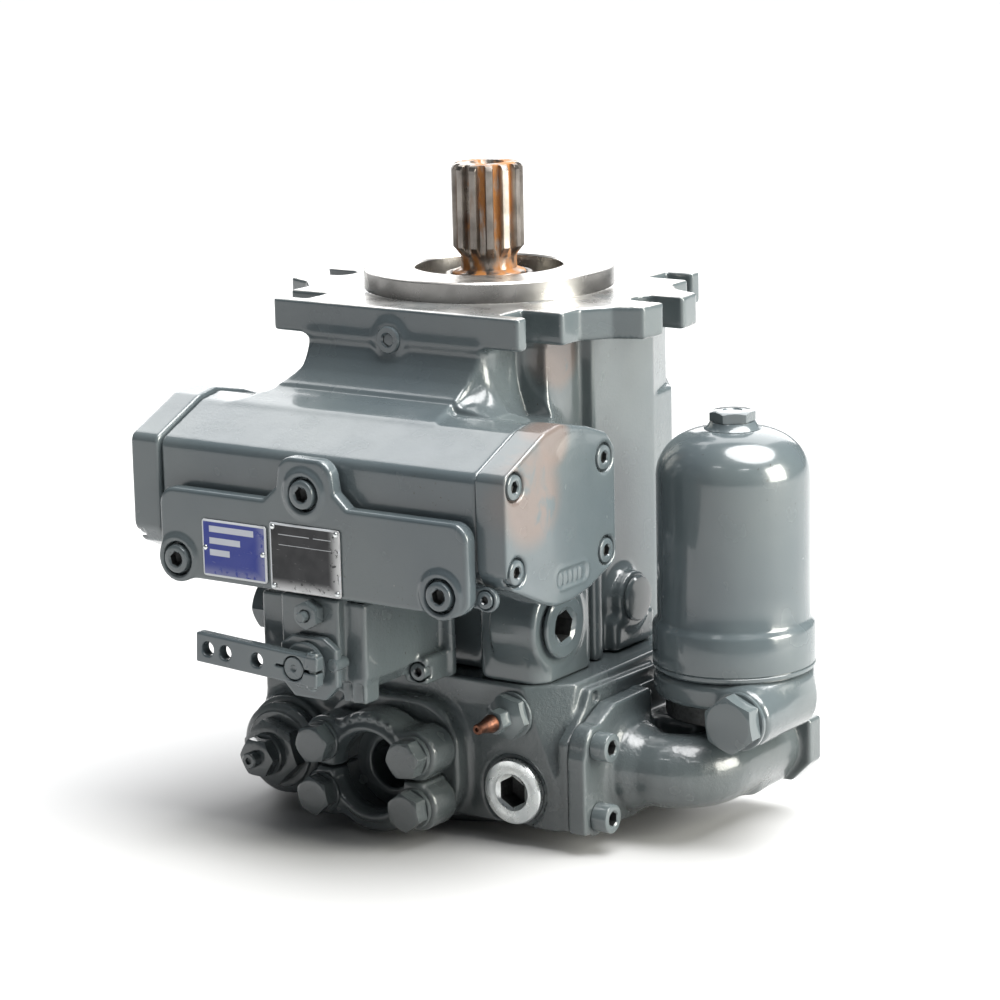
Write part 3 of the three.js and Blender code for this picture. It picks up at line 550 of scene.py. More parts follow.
def enamel(name, cast=0.5, ground_shade=0.0, patches=(), machined=None):
    """Glossy grey enamel over metal; `cast` is how much of the rough casting shows through.

    `ground_shade` is painted shade that darkens what is close to the ground. Each patch is a centre and
    a radius in metres where red primer shows faintly. Faces above the height `machined` are bare, oily and
    thinly oversprayed.
    """
    net = Net(name)
    color = net.mix(net.ramp(net.noise(9, 3), 0.3, 0.7), GREY, GREY_LIGHT)
    streaks = net.ramp(net.noise(22, 3, 0.5, stretch=(1, 1, 0.3)), 0.5, 0.8)
    color = net.mix(net.times(streaks, 0.3), color, GREY_DARK)
    specks = net.times(net.ramp(net.noise(420, 2, 0.6), 0.67, 0.74), net.ramp(net.noise(24, 3), 0.5, 0.7))
    color = net.mix(specks, color, (0.045, 0.045, 0.042, 1))
    if ground_shade:
        # Painted shade: below 0.125 m the paint is mixed towards near black, more strongly nearer the ground.
        low = net.ramp(net.part("Z"), 0.125, 0.01, 0.0, ground_shade)
        color = net.mix(low, color, (0.022, 0.022, 0.02, 1))
    for x, y, z, radius in patches:
        spot = net.ramp(net.away((x, y, z)), radius, radius * 0.55)
        worn = net.ramp(net.noise(45, 3, 0.5, warp=0.8), 0.3, 0.46)
        color = net.mix(net.times(net.times(spot, worn), 0.62), color, PRIMER)
    rough_zone = net.ramp(net.noise(14, 3), 0.42, 0.62, 0.25, 1.0)
    pits = net.times(net.noise(520, 4, 0.65), rough_zone)
    normal = net.bump(net.noise(38, 2, 0.4, stretch=(1, 1, 0.6)), 0.0016, 0.16 + 0.2 * cast)
    normal = net.bump(net.noise(120, 3, 0.6), 0.0011, 0.3 * cast + 0.02, normal)
    normal = net.bump(pits, 0.0006, cast, normal)
    roughness = net.ramp(net.noise(45, 3), 0.3, 0.75, 0.14, 0.3)
    metallic = 0.0
    if machined:
        height = net.plus(net.part("Z"), net.times(net.noise(260, 3), 0.0006))
        bare = net.ramp(height, machined, machined + 0.0003)
        spray = net.ramp(net.noise(30, 4, 0.6), 0.42, 0.6, 0.95, 0.35)
        bare = net.times(bare, spray)
        color = net.mix(bare, color, net.mix(net.noise(60, 4), (0.6, 0.59, 0.57, 1), (0.4, 0.385, 0.37, 1)))
        roughness = net.plus(roughness, net.times(bare, 0.12))
        metallic = net.times(bare, 0.9)
    return net.finish(color, roughness, metallic, normal, coat=0.6, coat_roughness=0.07)


def turned_steel(name):
    """Bright turned face with fine concentric tool marks and faint stains; its outer side face is darkened as
    painted shade.
    """
    net = Net(name)
    radius = net.radius()
    tool = net.math("SINE", net.times(radius, 9000.0))
    flat = net.node("CombineXYZ")
    net.wire(net.times(radius, 600.0), flat.inputs[0])
    bands = net.noise(1.0, 3, 0.7, at=flat.outputs[0])
    stain = net.ramp(net.noise(30, 5, 0.6, warp=0.4), 0.5, 0.75)
    color = net.mix(net.times(bands, 0.6), (0.74, 0.72, 0.69, 1), (0.5, 0.48, 0.46, 1))
    color = net.mix(net.times(stain, 0.5), color, (0.36, 0.31, 0.26, 1))
    # Painted shade: beyond a radius of 75.5 mm, on the pilot's side face, the steel is coloured darker than on
    # the top.
    rim = net.ramp(radius, 0.0755, 0.0761)
    color = net.mix(rim, color, net.mix(net.noise(35, 3), (0.36, 0.35, 0.335, 1), (0.2, 0.195, 0.19, 1)))
    roughness = net.plus(net.ramp(bands, 0.2, 0.8, 0.2, 0.36), net.times(stain, 0.12))
    normal = net.bump(net.plus(net.times(tool, 0.4), net.times(bands, 2.0)), 0.00003, 0.5)
    return net.finish(color, roughness, 1.0, normal)


def shaft_steel(name):
    """Dark oiled steel with orange rust in the grooves and round the neck."""
    net = Net(name)
    radius = net.radius()
    grooves = net.ramp(radius, 0.0205, 0.0178)
    neck = net.ramp(net.part("Z"), 0.340, 0.330)
    clouds = net.noise(90, 5, 0.65, stretch=(1, 1, 0.35))
    rust = net.times(net.ramp(clouds, 0.42, 0.58), net.math("MAXIMUM", grooves, neck))
    smears = net.times(net.ramp(net.noise(130, 4, 0.6, stretch=(1, 1, 0.2)), 0.55, 0.75), 0.5)
    color = net.mix(net.ramp(net.noise(60, 4), 0.3, 0.7), (0.16, 0.14, 0.125, 1), (0.34, 0.31, 0.28, 1))
    color = net.mix(smears, color, (0.2, 0.12, 0.07, 1))
    color = net.mix(rust, color, net.mix(net.noise(240, 3), (0.42, 0.17, 0.035, 1), (0.19, 0.075, 0.02, 1)))
    roughness = net.plus(net.ramp(clouds, 0.3, 0.7, 0.26, 0.4), net.times(rust, 0.35))
    metallic = net.ramp(rust, 0.2, 0.8, 0.95, 0.15)
    normal = net.bump(net.noise(700, 3, 0.6), 0.00012, 0.5)
    return net.finish(color, roughness, metallic, normal)


def plain_metal(name, light, dark, roughness=(0.25, 0.4), scale=80, metallic=1.0, bump=0.3):
    net = Net(name)
    clouds = net.noise(scale, 5, 0.6)
    color = net.mix(net.ramp(clouds, 0.3, 0.7), light, dark)
    rough = net.ramp(net.noise(scale * 2, 4), 0.3, 0.7, *roughness)
    return net.finish(color, rough, metallic, net.bump(net.noise(scale * 9, 3), 0.0001, bump))


def plate_finish(name, ink, low, high, fields, wear):
    """A printed metal plate: ink with a bare border, pale fields and scratches.

    `low` and `high` are its corners in x, z, and each field is x0, z0, x1, z1, in metres.
    """
    net = Net(name)
    x, z = net.part("X"), net.part("Z")

    def inside(x0, z0, x1, z1, soft=0.0003):
        across = net.times(net.ramp(x, x0, x0 + soft), net.ramp(x, x1, x1 - soft))
        upward = net.times(net.ramp(z, z0, z0 + soft), net.ramp(z, z1, z1 - soft))
        return net.times(across, upward)

    metal = (0.6, 0.62, 0.64, 1)
    edge = 0.0012
    printed = inside(low[0] + edge, low[1] + edge, high[0] - edge, high[1] - edge)
    color = net.mix(printed, metal, ink)
    for field in fields:
        color = net.mix(net.times(inside(*field), 0.85), color, metal)
    scratches = net.ramp(net.noise(240, 6, 0.75, stretch=(0.5, 1, 2.4), warp=1.2), 0.63, 0.7)
    right_edge = net.ramp(x, high[0] - 0.009, high[0] - 0.001)
    rubbed = net.math("MAXIMUM", right_edge, net.ramp(z, low[1] + 0.008, low[1] + 0.001))
    chips = net.times(net.ramp(net.noise(260, 5, 0.7), 0.36, 0.46), net.times(rubbed, wear))
    worn = net.math("MAXIMUM", net.times(scratches, 0.6), chips)
    color = net.mix(worn, color, (0.5, 0.5, 0.5, 1))
    roughness = net.ramp(net.noise(160, 4), 0.3, 0.7, 0.28, 0.5)
    return net.finish(color, roughness, net.times(worn, 0.6), net.bump(worn, 0.00008, 0.5))


ENAMEL = enamel("grey_enamel", cast=0.3)
ENAMEL_HOUSING = enamel(
    "grey_enamel_housing", cast=0.4, patches=((0.081, -0.046, 0.284, 0.024),), machined=0.3145
)
ENAMEL_CAST = enamel("grey_enamel_cast", cast=0.7, ground_shade=0.3)
ENAMEL_ROUGH = enamel("grey_enamel_rough_cast", cast=1.0, ground_shade=0.5)
ENAMEL_SMOOTH = enamel("grey_enamel_smooth", cast=0.06)
ENAMEL_COVER = enamel(
    "grey_enamel_servo_cover", cast=0.3, patches=((0.134, -0.158, 0.226, 0.034), (0.13, -0.135, 0.255, 0.02))
)
ENAMEL_BOWL = enamel("grey_enamel_bowl", cast=0.05)
TURNED = turned_steel("turned_steel")
SHAFT = shaft_steel("oiled_shaft_steel")
ZINC = plain_metal("zinc_plating", (0.78, 0.8, 0.79, 1), (0.6, 0.63, 0.64, 1), (0.22, 0.38), 60)
COPPER = plain_metal("dull_copper", (0.2, 0.085, 0.05, 1), (0.07, 0.038, 0.03, 1), (0.35, 0.5), 200)
GROUND_STEEL = plain_metal("ground_steel", (0.6, 0.6, 0.61, 1), (0.45, 0.46, 0.47, 1))
BRONZE = plain_metal("bearing_bronze", (0.6, 0.38, 0.17, 1), (0.42, 0.25, 0.1, 1))
PAPER = plain_metal("filter_paper", (0.7, 0.64, 0.48, 1), (0.5, 0.44, 0.3, 1), (0.8, 0.95), 120, 0.0)
# Near-black painted shade for socket insides and for the gap under the filter bowl.
RECESS_SHADE = plain_metal(
    "recess_painted_shade", (0.03, 0.032, 0.032, 1), (0.012, 0.012, 0.012, 1), (0.4, 0.6), 300, 0.1
)
DARK_STEEL = plain_metal(
    "oily_retainer_steel", (0.16, 0.14, 0.12, 1), (0.05, 0.045, 0.04, 1), (0.25, 0.45), 150, 0.9
)
BLUE_FIELDS = [
    (-0.0675, 0.1925, -0.0345, 0.1965), (-0.0675, 0.1855, -0.0445, 0.1895),
    (-0.0675, 0.1785, -0.0525, 0.1825),
]
BLACK_LINES = [
    (-0.0165, 0.1965, 0.006, 0.1972), (0.0085, 0.1965, 0.0215, 0.1972), (-0.0165, 0.1905, 0.0215, 0.1911),
]
BLUE_PLATE = plate_finish(
    "blue_name_plate_print", (0.014, 0.03, 0.24, 1), (-0.073, 0.166), (-0.0255, 0.2), BLUE_FIELDS, 0.3
)
BLACK_PLATE = plate_finish(
    "black_name_plate_print", (0.007, 0.007, 0.009, 1), (-0.023, 0.1635), (0.0275, 0.2035), BLACK_LINES, 0.95
)


def dress(thing, material, body=BODY, nodes=()):
    """Gives a piece its material and its body, and hides the CAD nodes that it stands for."""
    marks = [face.material_index for face in thing.data.polygons]
    thing.data.materials.clear()
    thing.data.materials.append(material)
    # Faces marked as recesses get the near-black painted shade material.
    if any(marks):
        thing.data.materials.append(RECESS_SHADE)
        thing.data.polygons.foreach_set("material_index", marks)
    if nodes:
        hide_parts(*nodes)
    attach(thing, body)
    return thing


def painted(thing, *nodes, material=None, body=BODY):
    """Dresses a painted piece, in smooth enamel unless a rougher one is given."""
    return dress(thing, material or ENAMEL_SMOOTH, body, nodes)


def turned(name, node, rings, at, facing=FRONT, segments=72, crease=30, material=None, **how):
    """A painted piece made of rings, which stands for a CAD node."""
    return painted(polar(name, rings, at, facing, segments, crease, **how), node, material=material)


# ---- Housing ----


def mirrored(points):
    """An outline from its half at +X."""
    return points + [(-x, y) for x, y in reversed(points)]


def quarters(points):
    """An outline from its quarter at +X, +Y."""
    half = mirrored(points)
    return half + [(x, -y) for x, y in reversed(half)]


SERVO_SECTION = [
    (-184, 187), (-184, 242), (-143, 260.5), (-127, 263), (-99, 257), (-79, 250), (-70.5, 240),
    (-70.5, 173), (-99, 162.5), (-117, 159), (-135, 159), (-147, 163), (-177, 177),
]
SHELL = mirrored([(80, -84), (80, -24), (88, -22), (88, 46), (84, 74), (62, 104), (38, 114)])
NECK = mirrored([(80, -60), (80, -24), (88, -22), (88, 46), (80, 74), (57, 100), (36, 109)])
COVER_SCREWS = [(-173.7, 235.5), (-82.1, 235.8), (-173.2, 187.0), (-80.8, 180.8)]
PLATE_SCREWS = [(2.0, 221.8), (-92.2, 173.5), (95.9, 173.7)]


def housing():
    cast = Casting((-134, -186, 98), (134, 116, 328), 1.25, 2.6)
    cast.join(prism("z", SHELL, (98.3, 248), 3))
    cast.join(prism("z", NECK, (150, 300), 2), 0.4)
    cast.join(block((-62, 62), (-98.8, -30), (225, 300), 5), 16)
    cast.join(prism("x", inset(SERVO_SECTION, 2.0), (-112.7, 112.7), 1.5, 7), 42)
    slope = [
        (-60, 298), (-98.6, 298), (-98.8, 289), (-102, 282), (-108, 274.5), (-116, 268), (-126, 262.6),
        (-140, 256), (-140, 225), (-60, 225),
    ]
    sides = [
        (-62, 298), (-62.5, 276), (-75, 263), (-87, 255), (-100, 247), (-111, 241), (-111, 225), (50, 225),
        (52, 250), (58, 288), (58, 298),
    ]
    sweep = common(prism("x", slope, (-112, 60), 1, 5), prism("y", sides, (-150, -60), 2, 5))
    cast.join(sweep, 8)
    flange = quarters([
        (131, 14), (129, 30), (112, 37), (98.7, 52), (98.7, PITCH - SLOT), (70.5, PITCH - SLOT),
        (70.5, PITCH + SLOT), (88.7, PITCH + SLOT), (88.7, 101),
    ])
    cast.join(prism("z", flange, (295.5, FLANGE_Z), 0.6, 1.6), 5)
    for side in (-1, 1):
        cast.cut(block(sorted((side * 103.6, side * 140)), (-SLOT, SLOT), (290, 320), 9), 1)
        for end in (-1, 1):
            cast.cut(bar("z", (side * 81, end * PITCH), SLOT, (290, 320)), 0.6)
    cast.join(bar("y", FLANGE_PLUG, 11, (-101.2, -88), 1.5), 5)
    body = [(50, -99), (99, -99), (99, -38), (50, -38)]
    cast.join(prism("z", body, (98.3, 165), 1, 13), 6)
    cast.join(bar("x", SIDE_PLUG, 26.5, (66, 98.7), 3), 5)
    cast.join(block((40, 96), (-36, -26), (98.5, 160), 2), 3)
    cast.join(block((55, 97), (-14, 31), (98.5, 119), 4), 4)
    cast.join(bar("x", PIN_CAP, 16.5, (60, 98.7), 1.5), 8)
    cast.join(block((98, 119), (-184, -179), (166, 178), 1), 2)
    cast.join(bar("y", (119, 172), 7.5, (-184, -179), 0.8), 1)
    cast.cut(bar("y", (119, 172), 5.6, (-190, -181.4), 0.3), 0.5)
    cast.join(bar("z", (0, 0), 75.4, (300, 326.2), 0.5))
    cast.cut(bar("z", (0, 0), 78, (90, 285)))
    cast.cut(bar("z", (0, 0), 36, (280, 306)))
    cast.cut(bar("z", (0, 0), 46, (305.5, 330)))
    cast.cut(bar("x", (SERVO_Y, SERVO_Z), 35, (-115, 115)))
    cast.cut(block((-26, 26), (-112, -70), (194, 250), 1))
    cast.cut(bar("x", SIDE_PLUG, 22.5, (98.6, 104), 0.2), 0.5)
    cast.cut(bar("x", SIDE_PLUG, 15.6, (76, 101)))
    painted(cast.mesh("housing_casting"), "housing", material=ENAMEL_HOUSING)
    screw = socket_screw("lug_screw", (119, -181.2, 172), FRONT, 5, 3.6, 2.8, 4, 4, 0.5)
    painted(screw)


# ---- Servo cylinder ends, cover plate and name plates ----


def servo_cover(side, name):
    span = sorted((side * (COVER_JOINT + 0.3), side * COVER_FACE))
    cast = Casting((span[0], -186, 158), (span[1], -68, 265), 1.1, 2.2)
    cast.join(prism("x", SERVO_SECTION, span, 1.2, 6))
    for y, z in COVER_SCREWS:
        sink = sorted((side * (COVER_FACE - 5.2), side * (COVER_FACE + 4)))
        cast.cut(bar("x", (y, z), 8.6, sink, 0.3), 0.6)
    if side > 0:
        cast_mark(cast)
    node = "servo_cover_right" if side > 0 else "servo_cover_left"
    return painted(cast.mesh(name), node, material=ENAMEL_COVER)


def cast_mark(cast):
    """A raised lozenge with plain bars inside, low on the right cover."""
    y, z, top = -118, 174, COVER_FACE + 0.6
    rim = [(y - 18, z - 7), (y + 18, z - 7), (y + 18, z + 7), (y - 18, z + 7)]
    cast.join(prism("x", rim, (COVER_FACE - 2, top), 0.3, 6.5), 0.6)
    cast.cut(prism("x", inset(rim, 1.8), (COVER_FACE - 0.3, top + 3), 0.2, 4.8), 0.4)
    for i in range(5):
        start = y - 12.5 + 5 * i
        cast.join(block((COVER_FACE - 2, top), (start, start + 2.5), (z - 3, z + 3), 0.3), 0.5)


def cover_screws():
    for side, label in ((1, "right"), (-1, "left")):
        for i, (y, z) in enumerate(COVER_SCREWS):
            seat = (side * (COVER_FACE - 5.1), y, z)
            name = f"{label}_cover_screw_{i + 1}_head"
            screw = socket_screw(name, seat, (side, 0, 0), 7.3, 5.0, 4.4, 12, 6.2, 1.2, spin=0.4 * i)
            nodes = [f"right_cover_screw_{i + 1}"] if side > 0 else []
            painted(screw, *nodes)


COVER_PLATE = [
    (-105.5, 162.5), (114.5, 162.5), (114.5, 216), (32, 216), (23, 224), (20, 242.5), (-16, 242.5),
    (-19, 224), (-28, 216), (-105.5, 216),
]


def control_cover_plate():
    cast = Casting((-107, -197, 160), (116, -184, 244), 1.0, 2.0)
    cast.join(prism("y", COVER_PLATE, (PLATE_FRONT, PLATE_BACK), 2.0, 11))
    for x, z in PLATE_SCREWS:
        cast.join(bar("y", (x, z), 14, (PLATE_FRONT - 1.6, PLATE_BACK), 1.2), 2.5)
        cast.cut(bar("y", (x, z), 10.2, (PLATE_FRONT - 8, PLATE_FRONT + 4.6), 0.5), 1)
    for (x0, x1), (z0, z1) in NAME_PLATES.values():
        depth = (PLATE_FRONT - 6, PLATE_FRONT + 0.15)
        cast.cut(block((x0 - 1.5, x1 + 1.5), depth, (z0 - 1.5, z1 + 1.5), 1))
    return painted(cast.mesh("control_cover_casting"), "control_cover_plate", material=ENAMEL)


def plate_screws():
    for i, (x, z) in enumerate(PLATE_SCREWS):
        seat = (x, PLATE_FRONT + 4.5, z)
        name = f"plate_screw_{i + 1}"
        screw = socket_screw(name + "_head", seat, FRONT, 8.6, 7.6, 4.8, 16, 8, rim=1.4, spin=0.3 + i)
        painted(screw, name)


NAME_PLATES = {
    "blue_name_plate": ((-73, -25.5), (166, 200)),
    "black_name_plate": ((-23, 27.5), (163.5, 203.5)),
}


def name_plates():
    for name, ((x0, x1), (z0, z1)) in NAME_PLATES.items():
        cast = Casting((x0, PLATE_FRONT - 1.3, z0), (x1, PLATE_FRONT, z1), 0.45, 0.9)
        outline = [(x0, z0), (x1, z0), (x1, z1), (x0, z1)]
        cast.join(prism("y", outline, (PLATE_FRONT - 1.3, PLATE_FRONT - 0.3), 0.15, 2))
        sheet = cast.mesh(name + "_sheet", relax=1)
        material = BLUE_PLATE if "blue" in name else BLACK_PLATE
        dress(sheet, material, BODY, [name])
        inset_x, inset_z = 2.6, (z1 - z0) / 2
        spots = [(x0 + inset_x, z0 + inset_z), (x1 - inset_x, z0 + inset_z)]
        if "black" in name:
            spots = [(x, z) for x in (x0 + 2.6, x1 - 2.6) for z in (z0 + 2.6, z1 - 2.6)]
        for i, (x, z) in enumerate(spots):
            rings = [(0, -1), (1.6, -1), (1.7, 0.15), (1.45, 0.7), (0.8, 1.05), (0, 1.15)]
            rivet = polar(f"{name}_rivet_{i + 1}", rings, (x, PLATE_FRONT - 1.3, z), FRONT, 24, 80)
            dress(rivet, ZINC)


# ---- Lever control ----


def valve_block():
    cast = Casting((-44, -190.5, 98), (48, -102, 163), 1.0, 2.0)
    front = [(-40, 113), (-30, 104), (26, 104), (34, 113), (34, 158.3), (-40, 158.3)]
    cast.join(prism("y", front, (-183, -103), 1.5, 2))
    cast.join(block((-20.5, 20.5), (-190, -150), (112, 161), 1.2), 2)
    cast.join(block((-42, 42), (-109, -103), (100, 158.3), 1.5), 2)
    cast.join(block((17, 33), (-183, -168), (98.6, 116), 1.5), 1.5)
    for x in (21, 29):
        cast.cut(bar("z", (x, -184), 3, (96, 111), 1), 1)
    cast.join(block((24, 40), (-132, -104), (99, 116), 2), 3)
    cast.cut(bar("y", (33.5, 106.5), 6.4, (-140, -127), 0.3), 0.6)
    cast.cut(bar("y", (0, LEVER_Z), 7.6, (-200, -152)))
    cast.cut(bar("y", STUD, 3.8, (-192, -165)))
    return painted(cast.mesh("control_valve_casting"), "control_valve_block", material=ENAMEL_CAST)


def guard_plate():
    x, z, half, bevel = 3, LEVER_Z, 20, 9
    points = [
        (x - half, z - half + bevel), (x - half + bevel, z - half), (x + half - bevel, z - half),
        (x + half, z - half + bevel), (x + half, z + half - bevel), (x + half - bevel, z + half - 3),
        (x - half + bevel, z + half - 3), (x - half, z + half - bevel),
    ]
    cast = Casting((-18, -197, 101), (24, -189, 141), 0.7, 1.6)
    cast.join(prism("y", points, (-196, -190.3), 1, 2))
    cast.cut(bar("y", (0, z), 7.8, (-200, -180), 0))
    return painted(cast.mesh("control_guard"), "control_guard_plate", material=ENAMEL)


def control_lever():
    """The lever bar with its shaft, hub and clamp screw, all on the lever's body."""
    tip, end, half = -71.4, 16.7, 9.0
    back = LEVER_FRONT + LEVER_THICK
    cast = Casting((tip, LEVER_FRONT, LEVER_Z - half), (end, back, LEVER_Z + half), 0.55, 1.2)
    cast.join(block((tip, end), (LEVER_FRONT, back), (LEVER_Z - half, LEVER_Z + half), 0.9))
    for x in (-62.7, -49.8, -26.6):
        cast.cut(bar("y", (x, LEVER_Z), 4.3, (LEVER_FRONT - 3, back + 3), 0), 0.7)
    cast.cut(bar("y", (0, LEVER_Z), 7.4, (LEVER_FRONT - 3, back + 3), 0), 0.3)
    cast.cut(block((5, end + 3), (LEVER_FRONT - 3, back + 3), (LEVER_Z - 0.8, LEVER_Z + 0.8), 0.1))
    cast.cut(block((-13, -5), (LEVER_FRONT - 3, LEVER_FRONT + 3), (LEVER_Z - 0.6, LEVER_Z + 0.6), 0.1))
    cast.cut(bar("z", (11.5, (LEVER_FRONT + back) / 2), 2.9, (LEVER_Z - half - 3, LEVER_Z + half + 3), 0))
    lever = cast.mesh("lever_bar")
    tilt(lever)
    painted(lever, "control_lever", body="lever")
    rings = [(0, -54), (6.8, -54), (6.8, -0.8), (6.2, -0.2), (2.4, -0.2), (1.4, -1.3), (0, -1.7)]
    shaft = polar("lever_shaft", rings, (0, LEVER_FRONT, LEVER_Z), FRONT, 64)
    painted(shaft, "control_shaft", body="lever")
    rings = [(7.6, 0), (13, 0), (14, 0.8), (14, 2.2), (13, 3), (7.6, 3)]
    hub = polar("lever_hub", rings, (2, back + 3.1, LEVER_Z), FRONT, 64)
    painted(hub, body="lever")
    middle = (LEVER_FRONT + back) / 2
    top = (11.5, middle, LEVER_Z + half - 0.8)
    head = socket_screw("lever_clamp_screw", top, (0, 0, 1), 3.7, 2.6, 2.3, 20, 2.6, 0.9)
    tilt(head)
    painted(head, "clamp_screw", body="lever")
    rings = [(0, 0), (3.4, 0), (3.4, 1.4), (2.6, 2.2), (0, 2.4)]
    foot = polar("lever_clamp_end", rings, (11.5, middle, LEVER_Z - half + 0.4), (0, 0, -1), 48)
    tilt(foot)
    painted(foot, body="lever")


def tilt(thing):
    """Turns a lever piece about the lever's shaft to the angle at which it is clamped."""
    pivot = Matrix.Translation((0, 0, LEVER_Z * MM))
    thing.data.transform(pivot @ Matrix.Rotation(LEVER_TILT, 4, "Y") @ pivot.inverted())


def control_fittings():
    rings = [(0, -30), (3.1, -30), (3.1, 5.5), (2.4, 6.2), (0, 6.2)]
    turned("control_stud_end", "control_stud", rings, (STUD[0], -197, STUD[1]), segments=32)
    rings = [(3.4, 0)] + hex_rings(15, 8.2) + [(3.9, 8.2), (3.4, 7.6)]
    turned("control_stud_nut", "control_nut", rings, (STUD[0], -190.3, STUD[1]))
    cap = hex_bolt("control_side_cap", (-40, -158, 143), (-1, 0, 0), 26, 17, 14.5, 6, 8)
    painted(cap)
    rings = [(0, -4), (4, -4), (4, 6.6), (3.2, 7.4), (0, 7.6)]
    painted(polar("lever_stop_pin", rings, (20.6, -190, 124), FRONT, 40))
    screw = socket_screw("valve_block_screw", (33.5, -126.8, 106.5), FRONT, 5.4, 5, 3, 12, 4.6, 0.8)
    painted(screw)


# ---- Rear end: port block, split flange and valves ----


def port_block():
    cast = Casting((-118, -116, 10), (118, 116, 112), 1.3, 2.6)
    body = [
        (-117.5, -80), (-103.5, -102), (112, -102), (112, 34), (101.5, 76), (71.5, 102), (-71.5, 102),
        (-101.5, 76), (-117.5, 40),
    ]
    cast.join(prism("z", body, (12, BLOCK_TOP), 1.5, 4))
    cast.cut(beyond((89.6, -102, 90), (0.603, -0.758, 0.248), (84, -110, 15), (125, -70, 112)), 0.6)
    pad = [(-101.5, 12.5), (-101.5, 67), (-91, 75), (-82, 84), (-76, 94), (0, 92), (28, 60), (28, 12.5)]
    cast.join(prism("x", pad, (110, BLOCK_X), 0.6, 3), 1)
    cast.join(bar("z", (0, 0), 76.5, (90, 110), 1), 3)
    for side in (-1, 1):
        pad = [(-48, 7), (48, 7), (48, 84), (-48, 84)]
        cast.join(prism("y", pad, sorted((side * 114, side * 84)), 2, 30), 5)
        cast.join(bar("y", (0, PORT_Z), 20, sorted((side * 114.8, side * 110))))
    cast.join(bar("y", RELIEF, 31, (-112, -90), 2), 8)
    cast.join(bar("y", (-58, 84), 17, (-104, -60), 5), 8)
    cast.cut(bar("z", (0, 0), 20.8, (27, 115)))
    cast.cut(bar("z", (0, 0), 30.6, (85, 115)))
    cast.cut(bar("z", (-6, 0), 31.8, (5, 28)))
    cast.cut(bar("x", SUCTION, 16, (70, 125)))
    cast.cut(bar("x", (-70, 88), 3.4, (BLOCK_X - 3, 125), 0.4), 0.6)
    cast.cut(bar("y", ZINC_PLUG, 22.4, (-110, -100), 0.5), 1)
    cast.cut(bar("y", ZINC_PLUG, 16.8, (-104, -84)))
    cast.cut(bar("y", BLEED, 7.6, (-104, -88)))
    cast.cut(bar("y", RELIEF, 15.6, (-118, -72)))
    for side in (-1, 1):
        cast.cut(bar("y", (0, PORT_Z), 15, sorted((side * 120, side * 48))))
        cast.cut(bar("z", (0, side * 48), 11, (PORT_Z, 115)))
        for x in (-BOLT_X, BOLT_X):
            for z in (-BOLT_Z, BOLT_Z):
                cast.cut(bar("y", (x, PORT_Z + z), 7.6, sorted((side * 120, side * 90))))
    return painted(cast.mesh("port_block_casting"), "port_block", material=ENAMEL_ROUGH)


def split_flange(side, name):
    front, back = -138, -114.3
    cast = Casting((-49, front - 1, PORT_Z - 40), (49, back, PORT_Z + 40), 0.9, 1.8)
    cast.join(bar("y", (0, PORT_Z), 37, (front + 1.5, back), 4))
    for x in (-BOLT_X, BOLT_X):
        z = PORT_Z + side * BOLT_Z
        cast.join(bar("y", (x, z), 14.8, (front, back), 3), 7)
        cast.cut(bar("y", (x, z), 7.2, (front - 3, back + 3)))
    cast.join(bar("y", (0, PORT_Z), 30, (front - 0.6, back), 2), 2)
    if side > 0:
        for degrees in range(40, 141, 12):
            t = math.radians(degrees)
            cast.join(bar("y", (34 * math.cos(t), PORT_Z + 34 * math.sin(t)), 1.6, (front, back), 0.6), 1)
    cast.cut(bar("y", (0, PORT_Z), 27.5, (front - 4, front + 6), 0, 23), 1.5)
    cast.cut(bar("y", (0, PORT_Z), 23.2, (front, back + 3)))
    cast.cut(bar("y", (0, PORT_Z), 25.5, (-126, back + 3)))
    far = sorted((PORT_Z + side * 0.6, PORT_Z - side * 60))
    cast.cut(block((-60, 60), (front - 6, back + 6), far, 0.5), 1)
    return painted(cast.mesh(name + "_casting"), name, material=ENAMEL_ROUGH)


def port_bolts():
    spots = [(x, PORT_Z + z) for x in (-BOLT_X, BOLT_X) for z in (-BOLT_Z, BOLT_Z)]
    for i, (x, z) in enumerate(spots):
        name, seat = f"flange_bolt_{i + 1}", (x, -138.3, z)
        bolt = hex_bolt(name + "_head", seat, FRONT, 21, 12.5, 12.5, 6.7, 40, spin=0.2 + 0.5 * i)
        painted(bolt, name, material=ENAMEL_ROUGH)


